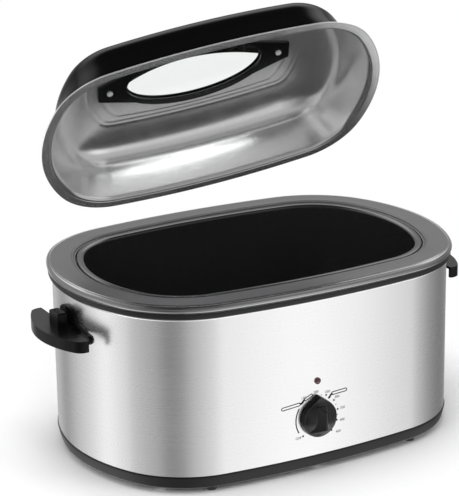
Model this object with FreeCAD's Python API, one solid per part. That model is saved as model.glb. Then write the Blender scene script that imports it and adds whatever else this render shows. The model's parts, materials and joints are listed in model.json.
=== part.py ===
"""Electric roaster oven: heated steel body, removable pan and rack, and a domed lid with a window.

Millimetres. X is the length, the front with the control knob faces -Y, and Z is up.
The body is drawn about its own middle, and every piece is then shifted so that the origin is the
middle of the whole footprint, knob included, on the surface that the feet stand on.
The lid is built seated on the pan and then swung to the open place in which it is shown.
"""
import FreeCAD, Part
import math
import os

V = FreeCAD.Vector
UP = V(0, 0, 1)
FRONT = V(0, -1, 0)

# Plan outline of the body: side, corner and end arcs that run into each other
HALF_LENGTH = 285.0
HALF_WIDTH = 199.0
SIDE_RADIUS = 1231.0
CORNER_RADIUS = 142.5
END_RADIUS = 248.0

# Heights above the table
FOOT_HEIGHT = 8.0
RING_TOP = 26.0
BODY_TOP = 248.0
COLLAR_TOP = 267.0
LEDGE_TOP = 255.0
PAN_RIM_TOP = 265.0
PAN_FLOOR = 62.0
LINER_FLOOR = 52.0

# Distances in from the plan outline (negative is inward)
COLLAR_EDGE = 3.0
BODY_EDGE = -4.7
RING_EDGE = -3.5
RING_TOE = -8.5
TOP_INNER = -35.5
LEDGE_INNER = -43.5
LINER_EDGE = -44.0
PAN_RIM_EDGE = -39.0
PAN_WALL_EDGE = -48.5
LID_EDGE = -46.0
LID_WALL_EDGE = -60.0

# Sheet thicknesses
SHELL_SHEET = 0.8
LINER_SHEET = 0.9
PAN_SHEET = 1.0
LID_SHEET = 0.9
PLATE_SHEET = 1.2
COLLAR_WALL = 3.0

# Bottom plate: its edge, cooling slots and the flange of the ring that carries it
RING_SHELF = 3.0
RING_INNER = -14.0
FLANGE_INNER = -28.0
FLANGE_TOP = 4.0
PLATE_PLAY = 0.3
SLOT_PITCH = 34.0
SLOT_ROW_Y = 62.0
SLOT_HALF_LENGTH = 22.0
SLOT_HALF_WIDTH = 2.5
SLOT_COLUMNS = 4
SCREW_REACH = 30.0
BASE_SCREW_LENGTH = 9.0
FASTENING_INSET = 20.0

# Heater bands round the liner, above its floor
HEATER_LOW = 22.0
HEATER_HIGH = 62.0

# Control knob and lamp on the front
CONTROL_X = -9.5
KNOB_Z = 80.0
KNOB_RADIUS = 26.5
KNOB_TIP = 33.0
KNOB_GAP = 1.6
KNOB_SKIRT = 7.0
KNOB_EDGE = 2.0
KNOB_DOME = 8.0
KNOB_FIN = 8.0
FIN_LOW = 14.0
FIN_RISE = 21.0
FIN_ROOT = 5.0
FIN_RIDGE = 2.4
SHAFT_RADIUS = 3.0
SHAFT_CLEARANCE = 0.05
LAMP_Z = 132.5
LENS_RADIUS = 4.6

# Side handles
HANDLE_TOP = 206.0
HANDLE_DROP = 16.0
HANDLE_REACH = 44.0
HANDLE_HALF = 76.0
HANDLE_STANDOFF = 7.2
HANDLE_SHOULDER_REACH = 26.0
HANDLE_SHOULDER_HALF = 67.0
HANDLE_DECK = 4.0
HANDLE_SKIRT = 4.5
PLATE_HALF = 57.0
PLATE_END = 7.0
POST_HEIGHT = 20.0
POST_DEPTH = 14.0
POST_HALF = 13.0
FIN_HEIGHT = 26.0
FIN_HALF = 24.0
FIN_THICK = 4.0
SLOT_WIDTH = 5.0

# Lid, seated height and the swing that carries it to its open place
LID_SEAT = PAN_RIM_TOP + 0.4
DOME_HEIGHT = 86.0
WINDOW_END_INSET = 189.0
WINDOW_LONG = HALF_LENGTH - WINDOW_END_INSET
WINDOW_SHORT = 49.0
TAB_END = 137.0
TAB_HALF = 15.0
GLASS_SHEET = 4.0
LID_SCREW_GAP = 25.0
LID_SCREW_X = WINDOW_LONG + LID_SCREW_GAP
LID_VENT_X = 160.0
VENT_RADIUS = 2.5
DOME_ROUND = 66.0
DOME_SHORTEN = 13.0
LID_SWING_DEG = 56.47
LID_AXIS = V(-0.9519, -0.0422, -0.3034)
LID_PIVOT_Y = 186.9
LID_PIVOT_Z = 386.1

# The dome's profile from rim to crown: shares of DOME_ROUND in, DOME_HEIGHT up and DOME_SHORTEN off each end
DOME_PROFILE = [
    (0.0, 0.0, 0.0), (0.092, 0.442, 0.70), (0.12, 0.64, 0.84), (0.20, 0.756, 0.89), (0.327, 0.843, 0.92),
    (0.503, 0.913, 0.95), (0.724, 0.965, 0.98), (1.0, 1.0, 1.0),
]

# Bow handle on the lid
BOW_REACH = 133.0
BOW_RISE = 36.0
BOW_END = 14.0
BOW_FOOT = 24.0
BOW_THICK = 9.0
BOW_HALF = 11.0

# Lifting rack
RACK_WIRE = 2.4
RACK_LIFT = 12.0
RACK_END_INSET = 89.0
RACK_SIDE_INSET = 91.0
RACK_CORNER = 60.0
RACK_RUNNER_Y = 50.0
RACK_FOOT_X = 120.0
RACK_END_BAR = 22.0
RACK_BARS = 11
RACK_HANDLE_HALF = 26.0
RACK_HANDLE_RISE = 96.0
RACK_HANDLE_BEND = 12.0
RACK_Z = PAN_FLOOR + PAN_SHEET + RACK_LIFT
RACK_HALF_LENGTH = HALF_LENGTH - RACK_END_INSET
RACK_HALF_WIDTH = HALF_WIDTH - RACK_SIDE_INSET

# Feet, and what is inside the body
FOOT_X_INSET = 127.0
FOOT_Y_INSET = 33.0
FOOT_SOLE_RADIUS = 7.0
FOOT_ROOT_RADIUS = 8.5
STANDOFF_X_INSET = 145.0
STANDOFF_Y_INSET = 129.0
STANDOFF_RADIUS = 9.0
STANDOFF_BORE = 6.5
CASE_HALF = 20.0
CASE_HALF_HEIGHT = 18.0
CASE_DEPTH = 18.0
GLAND_Z = 45.0
TERMINAL_X = 40.0
TERMINAL_LENGTH = 48.0
TERMINAL_DEPTH = 20.0
TERMINAL_HEIGHT = 18.0
TERMINAL_INSET = 41.0
TERMINAL_PITCH = 11.0
TERMINAL_BORE = 2.6

SCREW_RADIUS = 2.0
SCREW_FIT = 0.05
HOLE_GAP = 0.2
HEAD_RADIUS = 4.0
HEAD_HEIGHT = 2.4


def arc_centres(shorten=0.0):
    """Centres of the rear side arc, the right end arc and the corner arc that touches both."""
    side = V(0, HALF_WIDTH - SIDE_RADIUS, 0)
    end = V(HALF_LENGTH - shorten - END_RADIUS, 0, 0)
    to_side = SIDE_RADIUS - CORNER_RADIUS
    to_end = END_RADIUS - CORNER_RADIUS
    line = end - side
    gap = line.Length
    line.normalize()
    along = (to_side ** 2 - to_end ** 2 + gap ** 2) / (2 * gap)
    across = math.sqrt(to_side ** 2 - along ** 2)
    corner = side + line * along + V(line.y, -line.x, 0) * across
    return side, end, corner


def outline_points(offset, shorten):
    """The points of one quarter of the outline, from the right end round to the rear side."""
    side, end, corner = arc_centres(shorten)
    from_end = (corner - end).normalize()
    from_side = (corner - side).normalize()
    between = (from_end + from_side).normalize()
    return [
        V(HALF_LENGTH - shorten + offset, 0, 0),
        end + from_end * (END_RADIUS + offset),
        corner + between * (CORNER_RADIUS + offset),
        side + from_side * (SIDE_RADIUS + offset),
        V(0, HALF_WIDTH + offset, 0),
    ]


def outline(offset, z, shorten=0.0):
    """The closed plan outline, moved outward by offset and shortened at each end, at height z."""
    tip, end, corner, side, middle = [p + UP * z for p in outline_points(offset, shorten)]

    def mirror(p, sx, sy):
        return V(p.x * sx, p.y * sy, p.z)

    edges = []
    for sx, sy in ((1, 1), (-1, 1), (-1, -1), (1, -1)):
        ends = [mirror(end, sx, sy), mirror(side, sx, sy)]
        start, finish = ends if sx * sy > 0 else ends[::-1]
        edges.append(Part.Arc(start, mirror(corner, sx, sy), finish).toShape())
        if sx * sy > 0:
            edges.append(Part.Arc(finish, mirror(middle, 1, sy), mirror(side, -sx, sy)).toShape())
        else:
            edges.append(Part.Arc(finish, mirror(tip, sx, 1), mirror(end, sx, -sy)).toShape())
    return Part.Wire(edges)


def prism(offset, bottom, top):
    """The outline as an upright block."""
    return Part.Face(outline(offset, bottom)).extrude(UP * (top - bottom))


def stack(levels):
    """One solid through the outline at each (offset, height) or (offset, height, shortening)."""
    return Part.makeLoft([outline(*level) for level in levels], True, True)


def band(outer, inner, bottom, top):
    """An upright wall between two offsets of the outline."""
    return prism(outer, bottom, top).cut(prism(inner, bottom - 1, top + 1))


def box(low, high):
    """A block between two opposite corners."""
    size = high - low
    return Part.makeBox(size.x, size.y, size.z, low)


def rod(radius, start, finish):
    """A round bar from one point to another."""
    return Part.makeCylinder(radius, (finish - start).Length, start, finish - start)


def pan_head_screw(tip, head_seat):
    """A screw whose head bears at head_seat and whose shank ends at tip."""
    out = (head_seat - tip).normalize()
    head = rod(HEAD_RADIUS, head_seat, head_seat + out * HEAD_HEIGHT)
    return rod(SCREW_RADIUS, tip, head_seat).fuse(head).removeSplitter()


def front_face(offset):
    """The y of the front wall in front of the control knob, at an offset of the outline."""
    radius = SIDE_RADIUS + offset
    return -(HALF_WIDTH - SIDE_RADIUS + math.sqrt(radius ** 2 - CONTROL_X ** 2))


def fastening_places():
    """Six places round the base, in plan."""
    _, _, corner = arc_centres()
    reach = (CORNER_RADIUS - 20.0) / math.sqrt(2)
    x = corner.x + reach
    y = corner.y + reach
    side = HALF_WIDTH - FASTENING_INSET
    return [V(x, y, 0), V(-x, y, 0), V(-x, -y, 0), V(x, -y, 0), V(0, side, 0), V(0, -side, 0)]


def base_ring():
    """Moulded ring under the body, with an inward flange that carries the bottom plate."""
    outer = stack([(RING_TOE, FOOT_HEIGHT), (RING_EDGE, RING_TOP)])
    ring = outer.cut(prism(RING_INNER, FOOT_HEIGHT + RING_SHELF, RING_TOP + 1))
    ring = ring.cut(prism(FLANGE_INNER, FOOT_HEIGHT - 1, FOOT_HEIGHT + FLANGE_TOP))
    for place in fastening_places():
        ring = ring.cut(rod(SCREW_RADIUS + HOLE_GAP, place, place + UP * SCREW_REACH))
    return ring


def bottom_plate():
    """Steel plate that closes the body underneath, with rows of cooling slots."""
    low = FOOT_HEIGHT + RING_SHELF
    high = low + PLATE_SHEET
    plate = prism(RING_INNER - PLATE_PLAY, low, high)
    reach = V(SLOT_HALF_WIDTH, SLOT_HALF_LENGTH, 0)
    for column in range(-SLOT_COLUMNS, SLOT_COLUMNS + 1):
        for row in (-1, 1):
            middle = V(column * SLOT_PITCH, row * SLOT_ROW_Y, 0)
            plate = plate.cut(box(middle - reach + UP * (low - 1), middle + reach + UP * (high + 1)))
    for place in fastening_places():
        plate = plate.cut(rod(SCREW_RADIUS, place, place + UP * SCREW_REACH))
    return plate


def base_screws():
    """Screws that pull the bottom plate and the ring together."""
    seat = UP * FOOT_HEIGHT
    tip = UP * (FOOT_HEIGHT + BASE_SCREW_LENGTH)
    return Part.makeCompound([pan_head_screw(p + tip, p + seat) for p in fastening_places()])


def foot(sx, sy):
    """One moulded foot, tapered, with a flat sole."""
    place = V(sx * (HALF_LENGTH - FOOT_X_INSET), sy * (HALF_WIDTH - FOOT_Y_INSET), 0)
    return Part.makeCone(FOOT_SOLE_RADIUS, FOOT_ROOT_RADIUS, FOOT_HEIGHT, place, UP)


def handle_screw_places(side):
    """The two screws that hold a side handle, where they pass the end wall."""
    return [V(side * end_face(BODY_EDGE, y), y, HANDLE_TOP - 9.0) for y in (-POST_HALF, POST_HALF)]


def wall_normal(place):
    """The way straight out of an end wall at a place on it."""
    middle = math.copysign(HALF_LENGTH - END_RADIUS, place.x)
    return V(place.x - middle, place.y, 0).normalize()


def body_shell():
    """Brushed steel wrapper with the holes for shaft, lamp, cord gland and handle screws."""
    shell = band(BODY_EDGE, BODY_EDGE - SHELL_SHEET, RING_TOP, COLLAR_TOP - COLLAR_WALL)
    face = -HALF_WIDTH
    shell = shell.cut(rod(SHAFT_RADIUS + 1.0, V(CONTROL_X, face, KNOB_Z), V(CONTROL_X, face + 20, KNOB_Z)))
    shell = shell.cut(rod(LENS_RADIUS - 1.0, V(CONTROL_X, face, LAMP_Z), V(CONTROL_X, face + 20, LAMP_Z)))
    shell = shell.cut(rod(7.0, V(0, HALF_WIDTH - 20, GLAND_Z), V(0, HALF_WIDTH, GLAND_Z)))
    for side in (-1, 1):
        for place in handle_screw_places(side):
            out = wall_normal(place) * 9.0
            shell = shell.cut(rod(SCREW_RADIUS + HOLE_GAP, place - out, place + out))
    return shell


def collar():
    """Moulded rim: rolled outer bead, flat top and an inner ledge for the liner."""
    profile = [
        (0.6, BODY_TOP), (1.4, BODY_TOP + 1.5), (1.4, BODY_TOP + 5.5), (0.4, BODY_TOP + 7.0),
        (1.8, BODY_TOP + 8.2), (COLLAR_EDGE, BODY_TOP + 11.5), (COLLAR_EDGE - 0.4, COLLAR_TOP - 3.8),
        (COLLAR_EDGE - 2.2, COLLAR_TOP - 1.2), (-2.0, COLLAR_TOP - 0.2), (-3.2, COLLAR_TOP),
    ]
    skirt = stack(profile).cut(prism(BODY_EDGE, BODY_TOP - 1, COLLAR_TOP - COLLAR_WALL))
    skirt = skirt.cut(prism(TOP_INNER, BODY_TOP - 1, COLLAR_TOP + 1))
    drop = band(TOP_INNER + 0.1, TOP_INNER - 2.5, LEDGE_TOP - 2.0, COLLAR_TOP)
    ledge = band(TOP_INNER - 2.0, LEDGE_INNER, LEDGE_TOP - 2.0, LEDGE_TOP)
    return skirt.fuse([drop, ledge]).removeSplitter()


def liner():
    """Deep-drawn heating well that hangs in the collar by its flange."""
    flange = band(TOP_INNER - 2.8, LINER_EDGE - 0.4, LEDGE_TOP, LEDGE_TOP + LINER_SHEET)
    outer = stack([
        (LINER_EDGE - 10, LINER_FLOOR), (LINER_EDGE - 3, LINER_FLOOR + 4), (LINER_EDGE, LINER_FLOOR + 12),
        (LINER_EDGE, LEDGE_TOP + LINER_SHEET),
    ])
    inner = stack([
        (LINER_EDGE - 10.5, LINER_FLOOR + LINER_SHEET), (LINER_EDGE - 3.8, LINER_FLOOR + 4.8),
        (LINER_EDGE - LINER_SHEET, LINER_FLOOR + 12.4), (LINER_EDGE - LINER_SHEET, LEDGE_TOP + 5),
    ])
    return outer.cut(inner).fuse(flange).removeSplitter()


def heater_band(level):
    """A flat heating band clamped round the liner at one height."""
    return band(LINER_EDGE + 2.0, LINER_EDGE, level, level + 24.0)


def insulation():
    """Glass-fibre blanket between the heating bands and the shell."""
    return band(LINER_EDGE + 10.0, LINER_EDGE + 2.0, LINER_FLOOR + 14.0, LEDGE_TOP - 12.0)


def standoff(sx, sy):
    """A tube that holds the liner floor off the bottom plate."""
    x = sx * (HALF_LENGTH - STANDOFF_X_INSET)
    y = sy * (HALF_WIDTH - STANDOFF_Y_INSET)
    low = V(x, y, FOOT_HEIGHT + 3.0 + PLATE_SHEET)
    high = V(x, y, LINER_FLOOR)
    return rod(STANDOFF_RADIUS, low, high).cut(rod(STANDOFF_BORE, low, high))


def thermostat():
    """Thermostat case behind the control knob, with a running bore for its shaft."""
    y = front_face(BODY_EDGE) + SHELL_SHEET + 1.5
    low = V(CONTROL_X - CASE_HALF, y, KNOB_Z - CASE_HALF_HEIGHT)
    case = box(low, V(CONTROL_X + CASE_HALF, y + CASE_DEPTH, KNOB_Z + CASE_HALF_HEIGHT))
    case = case.makeFillet(2.0, [e for e in case.Edges if abs(e.Vertexes[0].Y - e.Vertexes[1].Y) > 1])
    bore = rod(SHAFT_RADIUS + SHAFT_CLEARANCE, V(CONTROL_X, y - 1, KNOB_Z), V(CONTROL_X, y + 14, KNOB_Z))
    return case.cut(bore)


def thermostat_bracket():
    """Plate between the thermostat and the shell, shaped to the wall."""
    y = front_face(BODY_EDGE) + SHELL_SHEET
    plate = box(V(CONTROL_X - 30, y - 3, KNOB_Z - 20), V(CONTROL_X + 30, y + 1.5, KNOB_Z + 20))
    plate = plate.common(prism(BODY_EDGE - SHELL_SHEET, 0, COLLAR_TOP))
    return plate.cut(rod(SHAFT_RADIUS + 1.0, V(CONTROL_X, y - 5, KNOB_Z), V(CONTROL_X, y + 5, KNOB_Z)))


def shaft_end():
    """How far forward the thermostat shaft reaches into the knob."""
    return front_face(BODY_EDGE) - KNOB_GAP - KNOB_SKIRT - 4.0


def thermostat_shaft():
    """Turning shaft with a flat for the knob."""
    tail = front_face(BODY_EDGE) + SHELL_SHEET + 1.5 + 12.0
    shaft = rod(SHAFT_RADIUS, V(CONTROL_X, tail, KNOB_Z), V(CONTROL_X, shaft_end(), KNOB_Z))
    flat_low = V(CONTROL_X - 4, shaft_end() - 1, KNOB_Z + SHAFT_RADIUS - 1.0)
    return shaft.cut(box(flat_low, flat_low + V(8, 11, 4)))


def knob_outline(radius, tip, y):
    """A circle drawn out to a point at the top, standing in a plane of constant y."""
    lean = math.acos(radius / tip)
    left = math.pi / 2 + lean
    right = math.pi / 2 - lean

    def at(r, turn):
        return V(CONTROL_X + r * math.cos(turn), y, KNOB_Z + r * math.sin(turn))

    arc = Part.Arc(at(radius, left), at(radius, -math.pi / 2), at(radius, right)).toShape()
    point = at(tip, math.pi / 2)
    rise = Part.makeLine(at(radius, right), point)
    fall = Part.makeLine(point, at(radius, left))
    return Part.Wire([arc, rise, fall])


def knob_dome(front):
    """Shallow cap on the skirt, part of a sphere."""
    rim = KNOB_RADIUS - KNOB_EDGE
    ball = (rim ** 2 + KNOB_DOME ** 2) / (2 * KNOB_DOME)
    sphere = Part.makeSphere(ball, V(CONTROL_X, front - KNOB_DOME + ball, KNOB_Z))
    return sphere.common(rod(rim, V(CONTROL_X, front + 1, KNOB_Z), V(CONTROL_X, front - KNOB_DOME - 1, KNOB_Z)))


def knob_fin(front):
    """Wedge-shaped grip over the cap, narrower towards the pointer."""
    top = front - KNOB_DOME - KNOB_FIN

    def tier(low, low_half, high, high_half, y):
        corners = [(-low_half, -low), (low_half, -low), (high_half, high), (-high_half, high)]
        points = [V(CONTROL_X + x, y, KNOB_Z + z) for x, z in corners]
        return Part.makePolygon(points + points[:1])

    root = tier(FIN_LOW, FIN_ROOT, FIN_RISE, FIN_ROOT * 0.55, front - 0.5)
    ridge = tier(FIN_LOW - 3.0, FIN_RIDGE, FIN_RISE - 6.0, FIN_RIDGE * 0.5, top)
    return Part.makeLoft([root, ridge], True, True)


def knob():
    """Control knob: pointed skirt, shallow dome and a wedge-shaped grip."""
    back = front_face(BODY_EDGE) - KNOB_GAP
    front = back - KNOB_SKIRT
    skirt = Part.makeLoft(
        [knob_outline(KNOB_RADIUS, KNOB_TIP, back), knob_outline(KNOB_RADIUS - 1.5, KNOB_TIP - 2.0, front)],
        True, True)
    body = skirt.fuse([knob_dome(front), knob_fin(front)]).removeSplitter()
    return body.cut(thermostat_shaft())


def indicator_lens():
    """Small red lens snapped into the front wall."""
    y = front_face(BODY_EDGE)
    stem = rod(LENS_RADIUS - 1.0, V(CONTROL_X, y + 6, LAMP_Z), V(CONTROL_X, y - 1, LAMP_Z))
    cap = Part.makeSphere(LENS_RADIUS * 1.25, V(CONTROL_X, y + LENS_RADIUS * 0.75, LAMP_Z))
    cap = cap.common(rod(LENS_RADIUS, V(CONTROL_X, y - 0.1, LAMP_Z), V(CONTROL_X, y - 9, LAMP_Z)))
    collar_disc = rod(LENS_RADIUS, V(CONTROL_X, y - 0.05, LAMP_Z), V(CONTROL_X, y - 1.2, LAMP_Z))
    return stem.fuse([cap, collar_disc]).removeSplitter()


def lamp_housing():
    """Holder of the neon lamp, pushed over the stem of the lens."""
    y = front_face(BODY_EDGE) + SHELL_SHEET + 0.1
    case = rod(6.5, V(CONTROL_X, y, LAMP_Z), V(CONTROL_X, y + 20, LAMP_Z))
    return case.cut(rod(LENS_RADIUS - 1.0, V(CONTROL_X, y - 1, LAMP_Z), V(CONTROL_X, y + 5.2, LAMP_Z)))


def cord_gland():
    """Bushing in the rear wall where the supply cord leaves the body."""
    y = HALF_WIDTH + BODY_EDGE
    flange = rod(10.5, V(0, y + 0.05, GLAND_Z), V(0, y + 4, GLAND_Z))
    stem = rod(7.0, V(0, y - 8, GLAND_Z), V(0, y + 1, GLAND_Z))
    nut = rod(10.0, V(0, y - SHELL_SHEET - 0.1, GLAND_Z), V(0, y - SHELL_SHEET - 4, GLAND_Z))
    return flange.fuse([stem, nut]).cut(rod(4.0, V(0, y - 10, GLAND_Z), V(0, y + 6, GLAND_Z)))


def terminal_block():
    """Screw terminals on the bottom plate, near the cord gland."""
    low = FOOT_HEIGHT + 3.0 + PLATE_SHEET
    rear = HALF_WIDTH - TERMINAL_INSET
    start = V(TERMINAL_X, rear - TERMINAL_DEPTH, low)
    block = box(start, V(TERMINAL_X + TERMINAL_LENGTH, rear, low + TERMINAL_HEIGHT))
    for column in range(4):
        x = TERMINAL_X + TERMINAL_LENGTH / 2 + (column - 1.5) * TERMINAL_PITCH
        y = rear - TERMINAL_DEPTH / 2
        block = block.cut(rod(TERMINAL_BORE, V(x, y, low + 9), V(x, y, low + TERMINAL_HEIGHT + 1)))
    return block


def end_face(offset, y):
    """The x of the right end wall at a given y, for an offset of the outline."""
    radius = END_RADIUS + offset
    return HALF_LENGTH - END_RADIUS + math.sqrt(radius ** 2 - y ** 2)


def handle_plan(inset, z):
    """Grip in plan: a straight edge that stands off the wall, and a curved outer edge with rounded ends."""
    wall = HALF_LENGTH + BODY_EDGE
    chord = wall + HANDLE_STANDOFF
    reach = wall + HANDLE_REACH - inset
    shoulder = wall + HANDLE_SHOULDER_REACH - inset * 0.6
    half = HANDLE_HALF - inset
    turn = HANDLE_SHOULDER_HALF - inset
    bend_x = (chord + shoulder) / 2 + 3.0
    bend_y = half - 1.6
    outer = Part.Arc(V(shoulder, -turn, z), V(reach, 0, z), V(shoulder, turn, z)).toShape()
    rear = Part.Arc(V(shoulder, turn, z), V(bend_x, bend_y, z), V(chord, half, z)).toShape()
    front = Part.Arc(V(chord, -half, z), V(bend_x, -bend_y, z), V(shoulder, -turn, z)).toShape()
    return Part.Wire([outer, rear, Part.makeLine(V(chord, half, z), V(chord, -half, z)), front])


def handle_fin():
    """Back plate of a handle: hugs the wall, with rounded ends and an arched middle."""
    wall = HALF_LENGTH + BODY_EDGE
    low = HANDLE_TOP - HANDLE_DROP
    x = end_face(BODY_EDGE, PLATE_HALF) - 2.0
    shoulder = HANDLE_TOP + FIN_HEIGHT - 9.0
    right = [
        V(x, PLATE_HALF - PLATE_END, low), V(x, PLATE_HALF, low + PLATE_END), V(x, PLATE_HALF - PLATE_END, low + 13.0),
        V(x, FIN_HALF + 2.0, HANDLE_TOP + 6.0), V(x, FIN_HALF - 2.0, shoulder),
    ]
    left = [V(x, -p.y, p.z) for p in right]
    edges = [
        Part.makeLine(left[0], right[0]),
        Part.Arc(right[0], right[1], right[2]).toShape(),
        Part.makeLine(right[2], right[3]),
        Part.makeLine(right[3], right[4]),
        Part.Arc(right[4], V(x, 0, HANDLE_TOP + FIN_HEIGHT), left[4]).toShape(),
        Part.makeLine(left[4], left[3]),
        Part.makeLine(left[3], left[2]),
        Part.Arc(left[2], left[1], left[0]).toShape(),
    ]
    sheet = Part.Face(Part.Wire(edges)).extrude(V(wall + FIN_THICK + 1.0 - x, 0, 0))
    return sheet.common(band(BODY_EDGE + FIN_THICK, BODY_EDGE, low - 1, HANDLE_TOP + FIN_HEIGHT + 1))


def handle(side):
    """Grip with a hanging lip, a back plate, and a post that leaves a slot for the lid."""
    low = HANDLE_TOP - HANDLE_DROP
    wall = HALF_LENGTH + BODY_EDGE
    lump = Part.Face(handle_plan(0.0, low)).extrude(UP * HANDLE_DROP)
    hollow = Part.Face(handle_plan(HANDLE_SKIRT, low - 1)).extrude(UP * (HANDLE_DROP - HANDLE_DECK + 1))
    rib = box(V(wall - 8, -POST_HALF - 4, low), V(wall + 22, POST_HALF + 4, HANDLE_TOP))
    rib = rib.cut(prism(BODY_EDGE, low - 1, HANDLE_TOP + 1))
    start = wall + FIN_THICK + SLOT_WIDTH
    post = box(V(start, -POST_HALF, HANDLE_TOP - 1), V(start + POST_DEPTH, POST_HALF, HANDLE_TOP + POST_HEIGHT))
    post = post.makeChamfer(1.5, [e for e in post.Edges if min(v.Z for v in e.Vertexes) > HANDLE_TOP + 2])
    whole = lump.cut(hollow).fuse([rib, handle_fin(), post]).removeSplitter()
    for place in handle_screw_places(1):
        whole = whole.cut(rod(SCREW_RADIUS + SCREW_FIT, place, place + wall_normal(place) * 12.0))
    return whole if side > 0 else whole.mirror(V(0, 0, 0), V(1, 0, 0))


def handle_screws(side):
    """Screws driven from inside the shell into a handle, square to the wall."""
    screws = []
    for place in handle_screw_places(side):
        out = wall_normal(place)
        seat = place - out * (SHELL_SHEET + SCREW_FIT)
        screws.append(pan_head_screw(seat + out * 12.0, seat))
    return Part.makeCompound(screws)


def pan():
    """Removable cooking pan with a turned-down rim."""
    outer = stack([
        (PAN_WALL_EDGE - 30, PAN_FLOOR), (PAN_WALL_EDGE - 20, PAN_FLOOR + 2), (PAN_WALL_EDGE - 13, PAN_FLOOR + 8),
        (PAN_WALL_EDGE - 10, PAN_FLOOR + 20), (PAN_WALL_EDGE, PAN_RIM_TOP),
    ])
    t = PAN_SHEET
    inner = stack([
        (PAN_WALL_EDGE - 30, PAN_FLOOR + t), (PAN_WALL_EDGE - 20.8, PAN_FLOOR + 2 + t),
        (PAN_WALL_EDGE - 14.2, PAN_FLOOR + 8 + t), (PAN_WALL_EDGE - 10 - t, PAN_FLOOR + 20 + t),
        (PAN_WALL_EDGE - t, PAN_RIM_TOP + 0.05),
    ])
    bowl = outer.cut(inner)
    rim = band(PAN_RIM_EDGE, PAN_WALL_EDGE - 0.8, PAN_RIM_TOP - 1.5, PAN_RIM_TOP)
    lip = band(PAN_RIM_EDGE, PAN_RIM_EDGE - 1.6, LEDGE_TOP + LINER_SHEET + 0.3, PAN_RIM_TOP - 0.5)
    return bowl.fuse([rim, lip]).removeSplitter()


def wire_along(path):
    """A round wire swept along a path of straight runs and arcs."""
    start = path.Edges[0]
    centre = start.valueAt(start.FirstParameter)
    heading = start.tangentAt(start.FirstParameter)
    section = Part.Wire([Part.makeCircle(RACK_WIRE, centre, heading)])
    return path.makePipeShell([section], True, False)


def rack_loop():
    """Rounded rectangle that frames the rack."""
    x = RACK_HALF_LENGTH
    y = RACK_HALF_WIDTH
    r = RACK_CORNER
    diagonal = r * (1 - math.sqrt(0.5))
    edges = []
    for sx, sy in ((1, 1), (-1, 1), (-1, -1), (1, -1)):
        first = V(sx * x, sy * (y - r), RACK_Z)
        middle = V(sx * (x - diagonal), sy * (y - diagonal), RACK_Z)
        second = V(sx * (x - r), sy * y, RACK_Z)
        start, finish = (first, second) if sx * sy > 0 else (second, first)
        edges.append(Part.Arc(start, middle, finish).toShape())
        if sx * sy > 0:
            edges.append(Part.makeLine(finish, V(-finish.x, finish.y, RACK_Z)))
        else:
            edges.append(Part.makeLine(finish, V(finish.x, -finish.y, RACK_Z)))
    return Part.Wire(edges)


def rack_grid():
    """Welded wire grid: frame, two long runners below, cross bars above and four feet."""
    pieces = [wire_along(rack_loop())]
    reach = RACK_HALF_LENGTH - RACK_END_BAR
    for i in range(RACK_BARS):
        x = reach * (2 * i / (RACK_BARS - 1) - 1)
        over = max(0.0, abs(x) - (RACK_HALF_LENGTH - RACK_CORNER))
        y = RACK_HALF_WIDTH - RACK_CORNER + math.sqrt(RACK_CORNER ** 2 - over ** 2)
        pieces.append(rod(RACK_WIRE * 0.8, V(x, -y, RACK_Z), V(x, y, RACK_Z)))
    low = RACK_Z - RACK_WIRE * 0.8
    for y in (-RACK_RUNNER_Y, RACK_RUNNER_Y):
        pieces.append(rod(RACK_WIRE, V(-RACK_HALF_LENGTH, y, low), V(RACK_HALF_LENGTH, y, low)))
        for x in (-RACK_FOOT_X, RACK_FOOT_X):
            pieces.append(rod(RACK_WIRE, V(x, y, PAN_FLOOR + PAN_SHEET + 0.3), V(x, y, low)))
    return pieces[0].fuse(pieces[1:])


def rack_handle(side):
    """Lifting loop at one end of the rack, bent up from the frame."""
    x = side * (RACK_HALF_LENGTH + RACK_WIRE * 2)
    low = RACK_Z
    high = RACK_Z + RACK_HANDLE_RISE
    r = RACK_HANDLE_BEND
    half = RACK_HANDLE_HALF
    bend = r * (1 - math.sqrt(0.5))
    path = Part.Wire([
        Part.makeLine(V(x, -half, low), V(x, -half, high - r)),
        Part.Arc(V(x, -half, high - r), V(x, -half + bend, high - bend), V(x, -half + r, high)).toShape(),
        Part.makeLine(V(x, -half + r, high), V(x, half - r, high)),
        Part.Arc(V(x, half - r, high), V(x, half - bend, high - bend), V(x, half, high - r)).toShape(),
        Part.makeLine(V(x, half, high - r), V(x, half, low)),
    ])
    return wire_along(path)


def swing_lid(shape):
    """Move a lid piece from its seat to the open place in which the lid is shown."""
    moved = shape.copy()
    moved.rotate(V(0, LID_PIVOT_Y, LID_PIVOT_Z), LID_AXIS, LID_SWING_DEG)
    return moved


def oval(long_half, short_half, bottom, top):
    """An upright block of elliptical plan over the middle of the lid."""
    curve = Part.Ellipse(V(0, 0, bottom), long_half, short_half).toShape()
    return Part.Face(Part.Wire([curve])).extrude(UP * (top - bottom))


def dome_levels(shrink, drop):
    """The dome's profile levels, made smaller by shrink and drop."""
    wall = LID_WALL_EDGE - shrink
    tall = DOME_HEIGHT - drop
    return [
        (wall - inward * DOME_ROUND, LID_SEAT + up * tall, short * DOME_SHORTEN)
        for inward, up, short in DOME_PROFILE
    ]


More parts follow.
